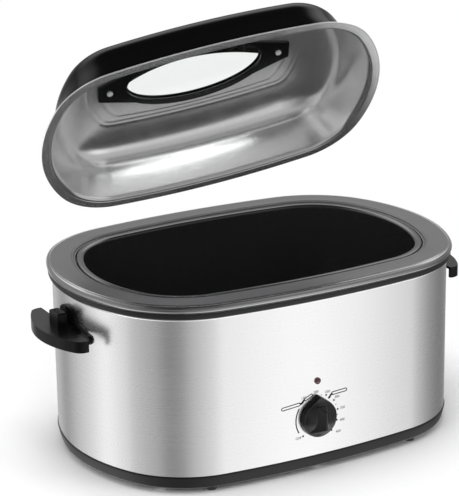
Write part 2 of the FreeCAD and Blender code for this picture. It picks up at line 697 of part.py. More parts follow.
def lid_shell():
    """Deep-drawn lid: flat rim, steep wall, crowned top with an oval opening."""
    outer = stack(dome_levels(0, 0))
    inner = stack(dome_levels(LID_SHEET, LID_SHEET))
    inner = inner.fuse(prism(LID_WALL_EDGE - LID_SHEET, LID_SEAT - 1, LID_SEAT + 0.01))
    rim = band(LID_EDGE, LID_WALL_EDGE - 0.5, LID_SEAT, LID_SEAT + LID_SHEET)
    shell = outer.cut(inner).fuse(rim).removeSplitter()
    top = LID_SEAT + DOME_HEIGHT
    shell = shell.cut(oval(WINDOW_LONG + 1, WINDOW_SHORT + 1, top - 9, top + 9))
    for x in (-LID_SCREW_X, LID_SCREW_X):
        shell = shell.cut(rod(SCREW_RADIUS + HOLE_GAP, V(x, 0, top - 9), V(x, 0, top + 9)))
    for x in (-LID_VENT_X, LID_VENT_X):
        shell = shell.cut(rod(VENT_RADIUS, V(x, 0, top - 12), V(x, 0, top + 9)))
    return shell


def frame_plan(grow, bottom, top):
    """Window frame in plan: an oval with a tapering tab at each end."""
    plan = oval(WINDOW_LONG + 9 + grow, WINDOW_SHORT + 9 + grow, bottom, top)
    for side in (-1, 1):
        root = V(side * WINDOW_LONG * 0.75, WINDOW_SHORT * 0.8 + grow, bottom)
        tip = V(side * (TAB_END + grow), TAB_HALF + grow, bottom)
        corners = [V(root.x, -root.y, bottom), V(tip.x, -tip.y, bottom), tip, root]
        tab = Part.Face(Part.makePolygon(corners + corners[:1])).extrude(UP * (top - bottom))
        plan = plan.fuse(tab)
    return plan.removeSplitter()


def window_glass():
    """Oval tempered pane over the opening."""
    top = LID_SEAT + DOME_HEIGHT
    return oval(WINDOW_LONG + 5, WINDOW_SHORT + 5, top + 1.0, top + 1.0 + GLASS_SHEET)


def window_gasket():
    """Silicone ring between the pane and the steel."""
    top = LID_SEAT + DOME_HEIGHT
    return oval(WINDOW_LONG + 5, WINDOW_SHORT + 5, top, top + 1).cut(
        oval(WINDOW_LONG + 1, WINDOW_SHORT + 1, top - 1, top + 2))


def window_bezel():
    """Outer frame that clamps the pane from above."""
    top = LID_SEAT + DOME_HEIGHT
    frame = frame_plan(2.0, top, top + 1.0 + GLASS_SHEET + 2.0)
    frame = frame.cut(oval(WINDOW_LONG + 5, WINDOW_SHORT + 5, top - 1, top + 1.0 + GLASS_SHEET))
    frame = frame.cut(oval(WINDOW_LONG - 1, WINDOW_SHORT - 1, top - 1, top + 12))
    for x in (-LID_SCREW_X, LID_SCREW_X):
        frame = frame.cut(rod(SCREW_RADIUS + HOLE_GAP, V(x, 0, top - 9), V(x, 0, top + 12)))
    return frame


def window_frame():
    """Inner frame under the lid, with a tab at each end for the screws."""
    under = LID_SEAT + DOME_HEIGHT - LID_SHEET
    frame = frame_plan(0.0, under - 3.0, under)
    frame = frame.cut(oval(WINDOW_LONG, WINDOW_SHORT, under - 9, under + 9))
    for x in (-LID_SCREW_X, LID_SCREW_X):
        frame = frame.cut(rod(SCREW_RADIUS + HOLE_GAP, V(x, 0, under - 9), V(x, 0, under + 9)))
    return frame


def lid_handle():
    """Bow handle along the lid, standing over the window on a foot at each end."""
    base = LID_SEAT + DOME_HEIGHT + 1.0 + GLASS_SHEET + 2.0
    inner = BOW_REACH - BOW_FOOT
    y = -BOW_HALF

    def bow(half, z_end, z_middle):
        return Part.Arc(V(-half, y, z_end), V(0, y, z_middle), V(half, y, z_end)).toShape()

    top = bow(BOW_REACH, base + BOW_END, base + BOW_RISE)
    under = bow(inner, base, base + BOW_RISE - BOW_THICK)
    legs = [
        Part.makeLine(V(BOW_REACH, y, base + BOW_END), V(BOW_REACH, y, base)),
        Part.makeLine(V(BOW_REACH, y, base), V(inner, y, base)),
        Part.makeLine(V(-inner, y, base), V(-BOW_REACH, y, base)),
        Part.makeLine(V(-BOW_REACH, y, base), V(-BOW_REACH, y, base + BOW_END)),
    ]
    wire = Part.Wire([top, legs[0], legs[1], under, legs[2], legs[3]])
    bar = Part.Face(wire).extrude(V(0, 2 * BOW_HALF, 0))
    for x in (-LID_SCREW_X, LID_SCREW_X):
        bar = bar.cut(rod(SCREW_RADIUS + SCREW_FIT, V(x, 0, base - 1), V(x, 0, base + 9)))
    return bar


def lid_screws():
    """Screws that pull frame, lid, bezel and handle together from inside."""
    seat = LID_SEAT + DOME_HEIGHT - LID_SHEET - 3.0
    return Part.makeCompound([
        pan_head_screw(V(x, 0, seat + 18), V(x, 0, seat)) for x in (-LID_SCREW_X, LID_SCREW_X)
    ])


def fixed_pieces():
    """Every piece that stays with the body."""
    pieces = {
        "base_ring": base_ring(),
        "bottom_plate": bottom_plate(),
        "base_screws": base_screws(),
        "body_shell": body_shell(),
        "collar": collar(),
        "liner": liner(),
        "heater_band_lower": heater_band(LINER_FLOOR + HEATER_LOW),
        "heater_band_upper": heater_band(LINER_FLOOR + HEATER_HIGH),
        "insulation": insulation(),
        "thermostat": thermostat(),
        "thermostat_bracket": thermostat_bracket(),
        "indicator_lens": indicator_lens(),
        "lamp_housing": lamp_housing(),
        "cord_gland": cord_gland(),
        "terminal_block": terminal_block(),
    }
    corners = {"front_left": (-1, -1), "front_right": (1, -1), "rear_left": (-1, 1), "rear_right": (1, 1)}
    for name, (sx, sy) in corners.items():
        pieces["foot_" + name] = foot(sx, sy)
        pieces["standoff_" + name] = standoff(sx, sy)
    for name, side in (("left", -1), ("right", 1)):
        pieces["handle_" + name] = handle(side)
        pieces["handle_screws_" + name] = handle_screws(side)
    return pieces


def moving_pieces():
    """Every piece that turns or lifts out."""
    pieces = {
        "knob": knob(),
        "thermostat_shaft": thermostat_shaft(),
        "pan": pan(),
        "rack_grid": rack_grid(),
        "rack_handle_left": rack_handle(-1),
        "rack_handle_right": rack_handle(1),
    }
    lid = {
        "lid_shell": lid_shell(),
        "window_glass": window_glass(),
        "window_gasket": window_gasket(),
        "window_bezel": window_bezel(),
        "window_frame": window_frame(),
        "lid_handle": lid_handle(),
        "lid_screws": lid_screws(),
    }
    pieces.update({name: swing_lid(shape) for name, shape in lid.items()})
    return pieces


def shift_to_origin():
    """From the middle of the body to the middle of the whole footprint, knob included."""
    front = front_face(BODY_EDGE) - KNOB_GAP - KNOB_SKIRT - KNOB_DOME - KNOB_FIN
    rear = HALF_WIDTH + COLLAR_EDGE
    return V(0, -(front + rear) / 2, 0)


def main():
    os.makedirs("parts", exist_ok=True)
    pieces = {**fixed_pieces(), **moving_pieces()}
    shift = shift_to_origin()
    print(f"shift to origin: {shift.y:.3f} mm")
    for name, shape in pieces.items():
        shape.translate(shift)
        solids = len(shape.Solids)
        low = shape.BoundBox
        print(f"{name}: {solids} solid, valid {shape.isValid()}, volume {shape.Volume / 1000:.1f} cm3, "
              f"x {low.XMin:.0f}..{low.XMax:.0f} y {low.YMin:.0f}..{low.YMax:.0f} z {low.ZMin:.0f}..{low.ZMax:.0f}")
        shape.exportStep(os.path.join("parts", name + ".step"))


main()
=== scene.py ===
"""Looks of an electric roaster oven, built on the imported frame.

Metres, in the row frame: X along the length, the front with the knob faces -Y, Z up.
Large drawn and moulded pieces are swept again as fine surfaces on the same plan outline as the frame's
solids; the other pieces keep their solids and get softened edges and finishes.
"""
import json
import math

import bmesh
import bpy
import numpy as np
from mathutils import Matrix, Vector


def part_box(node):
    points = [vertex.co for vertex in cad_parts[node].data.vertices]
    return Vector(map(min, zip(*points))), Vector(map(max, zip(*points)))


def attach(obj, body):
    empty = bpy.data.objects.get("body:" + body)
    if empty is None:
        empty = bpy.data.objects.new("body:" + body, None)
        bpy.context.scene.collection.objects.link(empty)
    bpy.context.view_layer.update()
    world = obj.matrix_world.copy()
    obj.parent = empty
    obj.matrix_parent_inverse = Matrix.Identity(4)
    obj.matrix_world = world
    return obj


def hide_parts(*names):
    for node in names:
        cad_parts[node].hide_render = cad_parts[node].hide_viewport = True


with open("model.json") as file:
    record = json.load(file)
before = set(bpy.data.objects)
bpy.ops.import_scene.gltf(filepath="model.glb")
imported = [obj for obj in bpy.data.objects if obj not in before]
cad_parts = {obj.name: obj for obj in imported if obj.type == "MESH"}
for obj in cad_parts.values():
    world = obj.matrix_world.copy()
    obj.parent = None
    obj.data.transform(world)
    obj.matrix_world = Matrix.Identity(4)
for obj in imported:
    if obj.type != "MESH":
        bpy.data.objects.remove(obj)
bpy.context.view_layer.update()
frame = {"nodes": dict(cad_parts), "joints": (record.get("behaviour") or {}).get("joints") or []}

MM = 0.001

# Plan outline, as in the frame's solids
SIDE_RADIUS = 1231.0 * MM
CORNER_RADIUS = 142.5 * MM
END_RADIUS = 248.0 * MM
COLLAR_EDGE = 3.0 * MM
BODY_EDGE = -4.7 * MM
PLAN_STEPS = (20, 30, 26)

# Lid: where its wall starts, its height, and its profile as shares of inset, height and end shortening
LID_WALL = -60.0 * MM
DOME_HEIGHT = 86.0 * MM
DOME_ROUND = 66.0 * MM
DOME_SHORTEN = 13.0 * MM
DOME_PROFILE = [
    (0.0, 0.0, 0.0), (0.092, 0.442, 0.70), (0.12, 0.64, 0.84), (0.20, 0.756, 0.89), (0.327, 0.843, 0.92),
    (0.503, 0.913, 0.95), (0.724, 0.965, 0.98), (1.0, 1.0, 1.0),
]

# Lid: its rim's offset, its sheet, its gap over the pan's rim, and the oval that its crown runs in to
LID_RIM = -46.0 * MM
LID_SHEET = 0.9 * MM
LID_SEAT_GAP = 0.4 * MM
WINDOW_OVAL = (97.0 * MM, 50.0 * MM)
CROWN_RISE = 0.4 * MM

# Lid: bare steel loops at the rim, and how many loops the last stretch of the wall and the crown have
RIM_LOOPS = 10
TOP_STEPS = 16
CROWN_STEPS = 44

# Pressed beads: where, how wide and how high. The first is placed by offset, the second by the way to the window
WALL_BEAD = (-119.5 * MM, 2.2 * MM, 0.5 * MM)
CROWN_BEAD = (0.26, 0.05, 0.4 * MM)

# Pan: the flat floor's offset, and its loops as shares of the outline with the groove's depth at each
PAN_FLAT = -78.5 * MM
PAN_SCALES = (0.97, 0.93, 0.915, 0.90, 0.885, 0.87, 0.6, 0.3, 0.02)
PAN_GROOVE = (0.0, 0.0, 1.2 * MM, 1.8 * MM, 1.2 * MM, 0.0, 0.0, 0.0, 0.0)

# Knob, in millimetres: its outline, the skirt's edge as (inset, height), the dome and the ridge across it
KNOB_RADIUS = 26.5
KNOB_TIP = 33.0
KNOB_BACK = 1.6
KNOB_STEPS = (180, 62)
SKIRT = 7.0
SKIRT_EDGE = [(0.0, 0.0), (0.0, 0.4), (0.35, 3.4), (0.8, 6.0), (1.3, 6.8), (2.1, 7.05)]
DOME_RISE = 8.0
DOME_REACH = 24.5
FIN_RISE = 8.0
FIN_DOWN = 14.0
FIN_UP = 21.0
FIN_SUNK = 0.5
FIN_ROOT = 19.0
FIN_RIDGE = 1.3
ROOT_TAPER = 0.55
RIDGE_TAPER = 0.4
TAIL_OUT = 4.0
TAIL_SLOPE = 7.0
NOSE_SLOPE = 6.0
BLEND = 0.35

# Print
PRINT_LIFT = 0.12 * MM
DOT_STEPS = 24

# Finishes: how solids are softened, how deep the fine relief is, and two plain colours
WELD_REACH = 0.02 * MM
BEVEL_SEGMENTS = 3
BEVEL_DEGREES = 28
EDGE_REACH = 0.8 * MM
LINE_DEPTH = 0.03 * MM
PIT_DEPTH = 0.04 * MM
RIPPLE_DEPTH = 0.3 * MM
FELT_DEPTH = 1.0 * MM
FLECK = (0.22, 0.22, 0.22, 1.0)
WHITE = (1.0, 1.0, 1.0, 1.0)

# The camera that matches the photograph, aimed from the middle of the body
CAMERA_AZIMUTH = -28.9
CAMERA_ELEVATION = 17.99
CAMERA_ROLL = -0.9
CAMERA_DISTANCE = 2.884
CAMERA_SHIFT = (-0.02904, 0.14636)
CAMERA_AIM_HEIGHT = 0.11
CAMERA_LENS = 147.5

collar_low, collar_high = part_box("collar")
shell_low, shell_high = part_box("body_shell")
ring_low, ring_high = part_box("base_ring")
pan_low, pan_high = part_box("pan")
HALF_LENGTH = collar_high.x - COLLAR_EDGE
HALF_WIDTH = (collar_high.y - collar_low.y) / 2 - COLLAR_EDGE
MIDDLE_Y = (collar_high.y + collar_low.y) / 2


def joint(name):
    """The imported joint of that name."""
    return next(j for j in frame["joints"] if j["name"] == name)


def lid_swing():
    """The matrix that carries a piece from the seated lid to the open lid."""
    lift = joint("lid_lift")
    pivot = Vector(lift["pos_m"])
    turn = Matrix.Rotation(-math.radians(lift["range_deg"][0]), 4, Vector(lift["axis"]))
    return Matrix.Translation(pivot) @ turn @ Matrix.Translation(-pivot)


# Shapes

def arc_centres(shorten=0.0):
    """Plan centres of the side arc, the end arc and the corner arc between them, about the body's middle."""
    side = np.array([0.0, HALF_WIDTH - SIDE_RADIUS])
    end = np.array([HALF_LENGTH - shorten - END_RADIUS, 0.0])
    to_side = SIDE_RADIUS - CORNER_RADIUS
    to_end = END_RADIUS - CORNER_RADIUS
    gap = np.linalg.norm(end - side)
    along = (to_side ** 2 - to_end ** 2 + gap ** 2) / (2 * gap)
    across = math.sqrt(to_side ** 2 - along ** 2)
    line = (end - side) / gap
    return side, end, side + line * along + np.array([line[1], -line[0]]) * across


def plan(offset, shorten=0.0):
    """Points round the plan outline at an offset: P = centre + (radius + offset) (cos t, sin t) on each arc."""
    side, end, corner = arc_centres(shorten)
    to_corner = corner - side
    first = math.atan2(*(corner - end)[::-1])
    second = math.atan2(*to_corner[::-1])
    spans = [
        (end, END_RADIUS, 0.0, first, PLAN_STEPS[0]),
        (corner, CORNER_RADIUS, first, second, PLAN_STEPS[1]),
        (side, SIDE_RADIUS, second, math.pi / 2, PLAN_STEPS[2]),
    ]
    parts = []
    for centre, radius, start, stop, steps in spans:
        t = np.linspace(start, stop, steps, endpoint=False)
        parts.append(centre + (radius + offset) * np.c_[np.cos(t), np.sin(t)])
    quarter = np.vstack(parts + [[[0.0, HALF_WIDTH + offset]]])
    rear_left = quarter[::-1] * (-1, 1)
    front_left = quarter * (-1, -1)
    front_right = quarter[::-1] * (1, -1)
    loop = np.vstack([quarter, rear_left[1:], front_left[1:], front_right[1:-1]])
    return loop + (0.0, MIDDLE_Y)


def ring(offset, z, shorten=0.0, scale=1.0):
    """The plan outline at one offset and height, shortened at each end and drawn in by scale."""
    loop = (plan(offset, shorten) - (0.0, MIDDLE_Y)) * scale + (0.0, MIDDLE_Y)
    return np.c_[loop, np.full(len(loop), z)]


def oval_ring(long_half, short_half, like):
    """An ellipse (a cos t, b sin t) whose points face the points of another loop."""
    rel = like[:, :2] - (0.0, MIDDLE_Y)
    t = np.arctan2(rel[:, 1] / short_half, rel[:, 0] / long_half)
    return np.c_[long_half * np.cos(t), short_half * np.sin(t) + MIDDLE_Y, np.zeros(len(t))]


def front_y(x, offset):
    """The front wall's y at x for an offset of the outline: y = middle - (centre + sqrt(R^2 - x^2))."""
    radius = SIDE_RADIUS + offset
    return MIDDLE_Y - (HALF_WIDTH - SIDE_RADIUS + np.sqrt(radius ** 2 - x ** 2))


def pressed_bead(value, place, width, height):
    """A bead's height at a value: h exp(-((value - place) / width)^2)."""
    return height * math.exp(-((value - place) / width) ** 2)


def round_corners(points, radii, steps=5):
    """An open profile whose corner i is replaced by a curve of about radii[i], a quadratic through the corner."""
    points = [np.array(p, float) for p in points]
    out = [points[0]]
    for before, here, after, radius in zip(points, points[1:], points[2:], radii[1:-1]):
        if radius <= 0:
            out.append(here)
            continue
        back = before - here
        ahead = after - here
        reach = min(radius, 0.48 * np.linalg.norm(back), 0.48 * np.linalg.norm(ahead))
        a = here + back / np.linalg.norm(back) * reach
        b = here + ahead / np.linalg.norm(ahead) * reach
        for t in np.linspace(0, 1, steps + 1):
            out.append((1 - t) ** 2 * a + 2 * t * (1 - t) * here + t ** 2 * b)
    out.append(points[-1])
    return out


def mesh_of(name, verts, faces, marks=None):
    """A mesh object with its faces turned outward and, if given, a material number for each face."""
    mesh = bpy.data.meshes.new(name)
    mesh.from_pydata(verts, [], faces)
    if marks is not None:
        mesh.polygons.foreach_set("material_index", marks)
    work = bmesh.new()
    work.from_mesh(mesh)
    bmesh.ops.recalc_face_normals(work, faces=work.faces)
    work.to_mesh(mesh)
    work.free()
    thing = bpy.data.objects.new(name, mesh)
    bpy.context.scene.collection.objects.link(thing)
    return thing


def skin(name, rings, closed=True, caps=False, marks=None):
    """Quads between neighbouring loops of points; closed joins the last loop to the first."""
    count = len(rings[0])
    strips = len(rings) if closed else len(rings) - 1
    here = np.arange(strips)[:, None] * count
    there = (np.arange(strips)[:, None] + 1) % len(rings) * count
    k = np.arange(count)
    after = (k + 1) % count
    faces = np.stack([here + k, here + after, there + after, there + k], axis=-1).reshape(-1, 4).tolist()
    numbers = np.repeat(np.zeros(strips, int) if marks is None else marks, count).tolist()
    if caps:
        last = count * (len(rings) - 1)
        faces += [list(range(count)), list(range(last, last + count))]
        numbers += [0, 0]
    return mesh_of(name, np.vstack(rings), faces, numbers)


def sweep(name, profile, marks=None):
    """A closed profile of (offset, height) carried round the plan outline."""
    return skin(name, [ring(*level) for level in profile], marks=marks)


def smooth(thing, angle):
    """Smooth shading, with edges sharper than the angle kept crisp."""
    thing.data.shade_smooth()
    thing.data.set_sharp_from_angle(angle=math.radians(angle))


def stand_for(thing, materials, body, slot, *nodes):
    """A new piece: its finishes, the body it rides on, and the solids that it stands for. The slot argument is not
    used.
    """
    for material in materials:
        thing.data.materials.append(material)
    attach(thing, body)
    if nodes:
        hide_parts(*nodes)
    return thing


def finish_node(node, material, bevel):
    """A solid of the frame keeps its shape and gets a finish, welded corners and softened edges."""
    thing = frame["nodes"][node]
    thing.data.materials.clear()
    thing.data.materials.append(material)
    weld = thing.modifiers.new("weld", "WELD")
    weld.merge_threshold = WELD_REACH
    if bevel > 0:
        soften = thing.modifiers.new("soften", "BEVEL")
        soften.width = bevel
        soften.segments = BEVEL_SEGMENTS
        soften.limit_method = "ANGLE"
        soften.angle_limit = math.radians(BEVEL_DEGREES)
        soften.use_clamp_overlap = True
        soften.harden_normals = False
    thing.data.shade_smooth()
    lean = thing.modifiers.new("normals", "WEIGHTED_NORMAL")
    lean.keep_sharp = True
    lean.weight = 80
    return thing


# Finishes

def new_group(name, inputs, outputs):
    """A shared node group with named sockets."""
    tree = bpy.data.node_groups.new(name, "ShaderNodeTree")
    for label, kind, value in inputs:
        socket = tree.interface.new_socket(label, in_out="INPUT", socket_type=kind)
        socket.default_value = value
    for label, kind in outputs:
        tree.interface.new_socket(label, in_out="OUTPUT", socket_type=kind)
    return tree, tree.nodes.new("NodeGroupInput"), tree.nodes.new("NodeGroupOutput")


def feed(tree, socket, value):
    """Link a socket to another one, or set it to a plain number or colour."""
    if isinstance(value, bpy.types.NodeSocket):
        tree.links.new(value, socket)
    else:
        socket.default_value = value


def math_node(tree, operation, a, b, clamp=False):
    """A maths node fed by sockets or numbers."""
    node = tree.nodes.new("ShaderNodeMath")
    node.operation = operation
    node.use_clamp = clamp
    feed(tree, node.inputs[0], a)
    feed(tree, node.inputs[1], b)
    return node.outputs[0]


def mix_color(tree, a, b, factor=1.0, kind="MIX"):
    """Two colours, sockets or plain, mixed by a socket or a number."""
    node = tree.nodes.new("ShaderNodeMix")
    node.data_type = "RGBA"
    node.blend_type = kind
    feed(tree, node.inputs["Factor"], factor)
    feed(tree, node.inputs["A"], a)
    feed(tree, node.inputs["B"], b)
    return node.outputs["Result"]


def mix_shader(tree, factor, a, b):
    """Two shaders: the first where the factor is 0, the second where it is 1."""
    node = tree.nodes.new("ShaderNodeMixShader")
    for i, value in enumerate((factor, a, b)):
        tree.links.new(value, node.inputs[i])
    return node.outputs["Shader"]


def smoothstep(tree, value, low, high):
    """0 below low, 1 above high, and a smooth step between them."""
    node = tree.nodes.new("ShaderNodeMapRange")
    node.interpolation_type = "SMOOTHSTEP"
    node.inputs["From Min"].default_value = low
    node.inputs["From Max"].default_value = high
    tree.links.new(value, node.inputs["Value"])
    return node.outputs["Result"]


def grain_group():
    """Fine lines along one direction: noise stretched by a scale on each axis. Gives a value about 0.5."""
    tree, start, end = new_group(
        "grain",
        [("Scale", "NodeSocketVector", (6.0, 6.0, 1400.0)), ("Blur", "NodeSocketFloat", 0.5)],
        [("Value", "NodeSocketFloat")])
    where = tree.nodes.new("ShaderNodeTexCoord")
    stretch = tree.nodes.new("ShaderNodeVectorMath")
    stretch.operation = "MULTIPLY"
    tree.links.new(where.outputs["Object"], stretch.inputs[0])
    tree.links.new(start.outputs["Scale"], stretch.inputs[1])
    noise = tree.nodes.new("ShaderNodeTexNoise")
    noise.inputs["Scale"].default_value = 1.0
    noise.inputs["Detail"].default_value = 3.0
    tree.links.new(stretch.outputs[0], noise.inputs["Vector"])
    tree.links.new(start.outputs["Blur"], noise.inputs["Roughness"])
    tree.links.new(noise.outputs["Fac"], end.inputs["Value"])
    return tree


def cloud_group():
    """Slow uneven patches between a low and a high value, for handling marks and uneven sheen."""
    tree, start, end = new_group(
        "clouds",
        [("Scale", "NodeSocketFloat", 9.0), ("Low", "NodeSocketFloat", 0.2), ("High", "NodeSocketFloat", 0.3)],
        [("Value", "NodeSocketFloat")])
    where = tree.nodes.new("ShaderNodeTexCoord")
    noise = tree.nodes.new("ShaderNodeTexNoise")
    noise.inputs["Detail"].default_value = 4.0
    noise.inputs["Roughness"].default_value = 0.6
    tree.links.new(where.outputs["Object"], noise.inputs["Vector"])
    tree.links.new(start.outputs["Scale"], noise.inputs["Scale"])
    span = tree.nodes.new("ShaderNodeMapRange")
    span.inputs["From Min"].default_value = 0.3
    span.inputs["From Max"].default_value = 0.7
    tree.links.new(noise.outputs["Fac"], span.inputs["Value"])
    tree.links.new(start.outputs["Low"], span.inputs["To Min"])
    tree.links.new(start.outputs["High"], span.inputs["To Max"])
    tree.links.new(span.outputs["Result"], end.inputs["Value"])
    return tree


def edge_group():
    """How near a sharp edge is, 0 to 1: one minus the dot of the true normal and the rounded one."""
    tree, start, end = new_group(
        "edges",
        [("Radius", "NodeSocketFloat", EDGE_REACH), ("Gain", "NodeSocketFloat", 4.0)],
        [("Value", "NodeSocketFloat")])
    soft = tree.nodes.new("ShaderNodeBevel")
    soft.samples = 4
    tree.links.new(start.outputs["Radius"], soft.inputs["Radius"])
    shape = tree.nodes.new("ShaderNodeNewGeometry")
    dot = tree.nodes.new("ShaderNodeVectorMath")
    dot.operation = "DOT_PRODUCT"
    tree.links.new(soft.outputs["Normal"], dot.inputs[0])
    tree.links.new(shape.outputs["Normal"], dot.inputs[1])
    away = math_node(tree, "SUBTRACT", 1.0, dot.outputs["Value"])
    tree.links.new(math_node(tree, "MULTIPLY", away, start.outputs["Gain"], clamp=True), end.inputs["Value"])
    return tree


GRAIN = grain_group()
CLOUDS = cloud_group()
EDGES = edge_group()


def use_group(tree, group, **values):
    """An instance of a shared group with its sockets set."""
    node = tree.nodes.new("ShaderNodeGroup")
    node.node_tree = group
    for label, value in values.items():
        node.inputs[label].default_value = value
    return node.outputs["Value"]


def base_material(name, color, metallic, roughness):
    """A material whose constants sit on the shader's own sockets."""
    material = bpy.data.materials.new(name)
    material.use_nodes = True
    material.diffuse_color = (*color, 1.0)
    shader = material.node_tree.nodes["Principled BSDF"]
    shader.inputs["Base Color"].default_value = (*color, 1.0)
    shader.inputs["Metallic"].default_value = metallic
    shader.inputs["Roughness"].default_value = roughness
    return material, material.node_tree, shader


def add_bump(tree, shader, height, strength, distance):
    """Lift or sink the surface by a value."""
    bump = tree.nodes.new("ShaderNodeBump")
    bump.inputs["Strength"].default_value = strength
    bump.inputs["Distance"].default_value = distance
    tree.links.new(height, bump.inputs["Height"])
    tree.links.new(bump.outputs["Normal"], shader.inputs["Normal"])


def painted_edge_highlight(tree, shader, color, edge_highlight_color):
    """Mix towards a paler colour along the edges: a painted highlight on the edges."""
    mask = use_group(tree, EDGES, Radius=EDGE_REACH, Gain=3.0)
    tree.links.new(mix_color(tree, (*color, 1.0), (*edge_highlight_color, 1.0), mask), shader.inputs["Base Color"])


def metal(name, color, roughness, scale, strength=0.12, spread=0.05, streak=0.12):
    """Sheet metal with lines along one direction and slightly uneven sheen."""
    material, tree, shader = base_material(name, color, 1.0, roughness)
    lines = use_group(tree, GRAIN, Scale=scale)
    patches = use_group(tree, CLOUDS, Scale=7.0, Low=roughness - spread, High=roughness + spread)
    streaks = math_node(tree, "MULTIPLY", math_node(tree, "SUBTRACT", lines, 0.5), streak)
    tree.links.new(math_node(tree, "ADD", patches, streaks), shader.inputs["Roughness"])
    add_bump(tree, shader, lines, strength, LINE_DEPTH)
    return material


def plastic(name, color, roughness, grain=900.0, strength=0.15, edge_highlight_color=None, gloss=0.35):
    """Moulded plastic with a fine texture, uneven sheen and, where a highlight colour is given, a painted highlight
    along its edges.
    """
    material, tree, shader = base_material(name, color, 0.0, roughness)
    shader.inputs["Specular IOR Level"].default_value = gloss
    pits = use_group(tree, GRAIN, Scale=(grain, grain, grain))
    patches = use_group(tree, CLOUDS, Scale=11.0, Low=roughness - 0.04, High=roughness + 0.05)
    tree.links.new(patches, shader.inputs["Roughness"])
    add_bump(tree, shader, pits, strength, PIT_DEPTH)
    if edge_highlight_color is not None:
        painted_edge_highlight(tree, shader, color, edge_highlight_color)
    return material


def enamel(name, color, roughness, flecks, gloss, coat):
    """Fired enamel: glossy, with a slow ripple and tiny pale flecks."""
    material, tree, shader = base_material(name, color, 0.0, roughness)
    shader.inputs["Specular IOR Level"].default_value = gloss
    where = tree.nodes.new("ShaderNodeTexCoord")
    cells = tree.nodes.new("ShaderNodeTexVoronoi")
    cells.inputs["Scale"].default_value = 420.0
    tree.links.new(where.outputs["Object"], cells.inputs["Vector"])
    spots = math_node(tree, "LESS_THAN", cells.outputs["Distance"], flecks)
    tree.links.new(mix_color(tree, (*color, 1.0), FLECK, spots), shader.inputs["Base Color"])
    ripple = use_group(tree, GRAIN, Scale=(60.0, 60.0, 60.0))
    add_bump(tree, shader, ripple, 0.08, RIPPLE_DEPTH)
    shader.inputs["Coat Weight"].default_value = coat
    shader.inputs["Coat Roughness"].default_value = 0.08
    return material


def set_sockets(material, values):
    """Set plain values on a material's own shader."""
    shader = material.node_tree.nodes["Principled BSDF"]
    for socket, value in values.items():
        shader.inputs[socket].default_value = value


def clear_glass():
    """Tempered glass that lets light and the view straight through."""
    material, tree, shader = base_material("window_glass", (0.96, 0.98, 0.97), 0.0, 0.02)
    shader.inputs["Transmission Weight"].default_value = 1.0
    shader.inputs["IOR"].default_value = 1.45
    clear = tree.nodes.new("ShaderNodeBsdfTransparent")
    clear.inputs["Color"].default_value = (0.93, 0.96, 0.95, 1.0)
    light = tree.nodes.new("ShaderNodeLightPath")
    through = math_node(tree, "MAXIMUM", light.outputs["Is Shadow Ray"], light.outputs["Is Diffuse Ray"])
    mixed = mix_shader(tree, through, shader.outputs["BSDF"], clear.outputs["BSDF"])
    tree.links.new(mixed, tree.nodes["Material Output"].inputs["Surface"])
    return material


def red_lens():
    """Clear red plastic, dark while the lamp is off."""
    material, _, _ = base_material("lens_red", (0.045, 0.001, 0.004), 0.0, 0.12)
    set_sockets(material, {"Coat Weight": 0.6, "Subsurface Weight": 0.1})
    return material


def blanket_fibre():
    """Glass-fibre felt."""
    material, tree, shader = base_material("blanket", (0.78, 0.70, 0.42), 0.0, 0.95)
    add_bump(tree, shader, use_group(tree, GRAIN, Scale=(300.0, 300.0, 90.0)), 0.6, FELT_DEPTH)
    return material


STEEL = metal("steel_brushed", (0.85, 0.85, 0.85), 0.27, (3.0, 3.0, 900.0), 0.006, 0.015, streak=0.05)
LID_STEEL = metal("lid_steel", (0.78, 0.78, 0.78), 0.23, (40.0, 40.0, 40.0), 0.0, 0.015)
set_sockets(LID_STEEL, {"Metallic": 0.9})
LINER = metal("liner_steel", (0.62, 0.62, 0.61), 0.34, (8.0, 8.0, 700.0))
HEATER = metal("heater_band", (0.36, 0.33, 0.30), 0.5, (9.0, 9.0, 500.0))
ZINC = metal("bracket_zinc", (0.66, 0.67, 0.68), 0.32, (200.0, 200.0, 200.0))
SHAFT = metal("shaft_steel", (0.6, 0.6, 0.6), 0.25, (900.0, 5.0, 900.0))
CHROME = metal("chrome", (0.80, 0.80, 0.80), 0.10, (200.0, 200.0, 200.0), 0.02, 0.03)
# The last colour given to a plastic is painted along its edges as a highlight.
PLATE = plastic("plate_black", (0.030, 0.030, 0.031), 0.42, 500.0, 0.10, (0.10, 0.10, 0.10))
RING = plastic("ring_black", (0.003, 0.003, 0.003), 0.32, 900.0, 0.08, (0.008, 0.008, 0.008), 0.2)
COLLAR = plastic("collar_satin", (0.070, 0.070, 0.073), 0.32, 1300.0, 0.08, (0.10, 0.10, 0.10), 0.4)
BEAD = plastic("collar_gloss", (0.012, 0.012, 0.013), 0.13, 700.0, 0.02, None, 1.0)
set_sockets(BEAD, {"Coat Weight": 1.0, "Coat IOR": 2.5, "Coat Roughness": 0.12})
LIP = plastic("collar_lip", (0.010, 0.010, 0.011), 0.34, 900.0, 0.05, None, 0.35)
HANDLE = plastic("handle_black", (0.003, 0.003, 0.003), 0.24, 1000.0, 0.05, (0.012, 0.012, 0.012), 0.14)
FOOT = plastic("foot_rubber", (0.014, 0.014, 0.014), 0.62, 700.0, 0.25)
KNOB = plastic("knob_black", (0.005, 0.005, 0.005), 0.20, 1300.0, 0.02, (0.02, 0.02, 0.02), 0.45)
FRAME = plastic("frame_black", (0.004, 0.004, 0.004), 0.22, 1300.0, 0.04, (0.03, 0.03, 0.03), 0.3)
CASE = plastic("thermostat_case", (0.045, 0.036, 0.030), 0.5)
GASKET = plastic("gasket_grey", (0.11, 0.11, 0.11), 0.6)
TERMINAL = plastic("terminal_white", (0.80, 0.79, 0.74), 0.45)
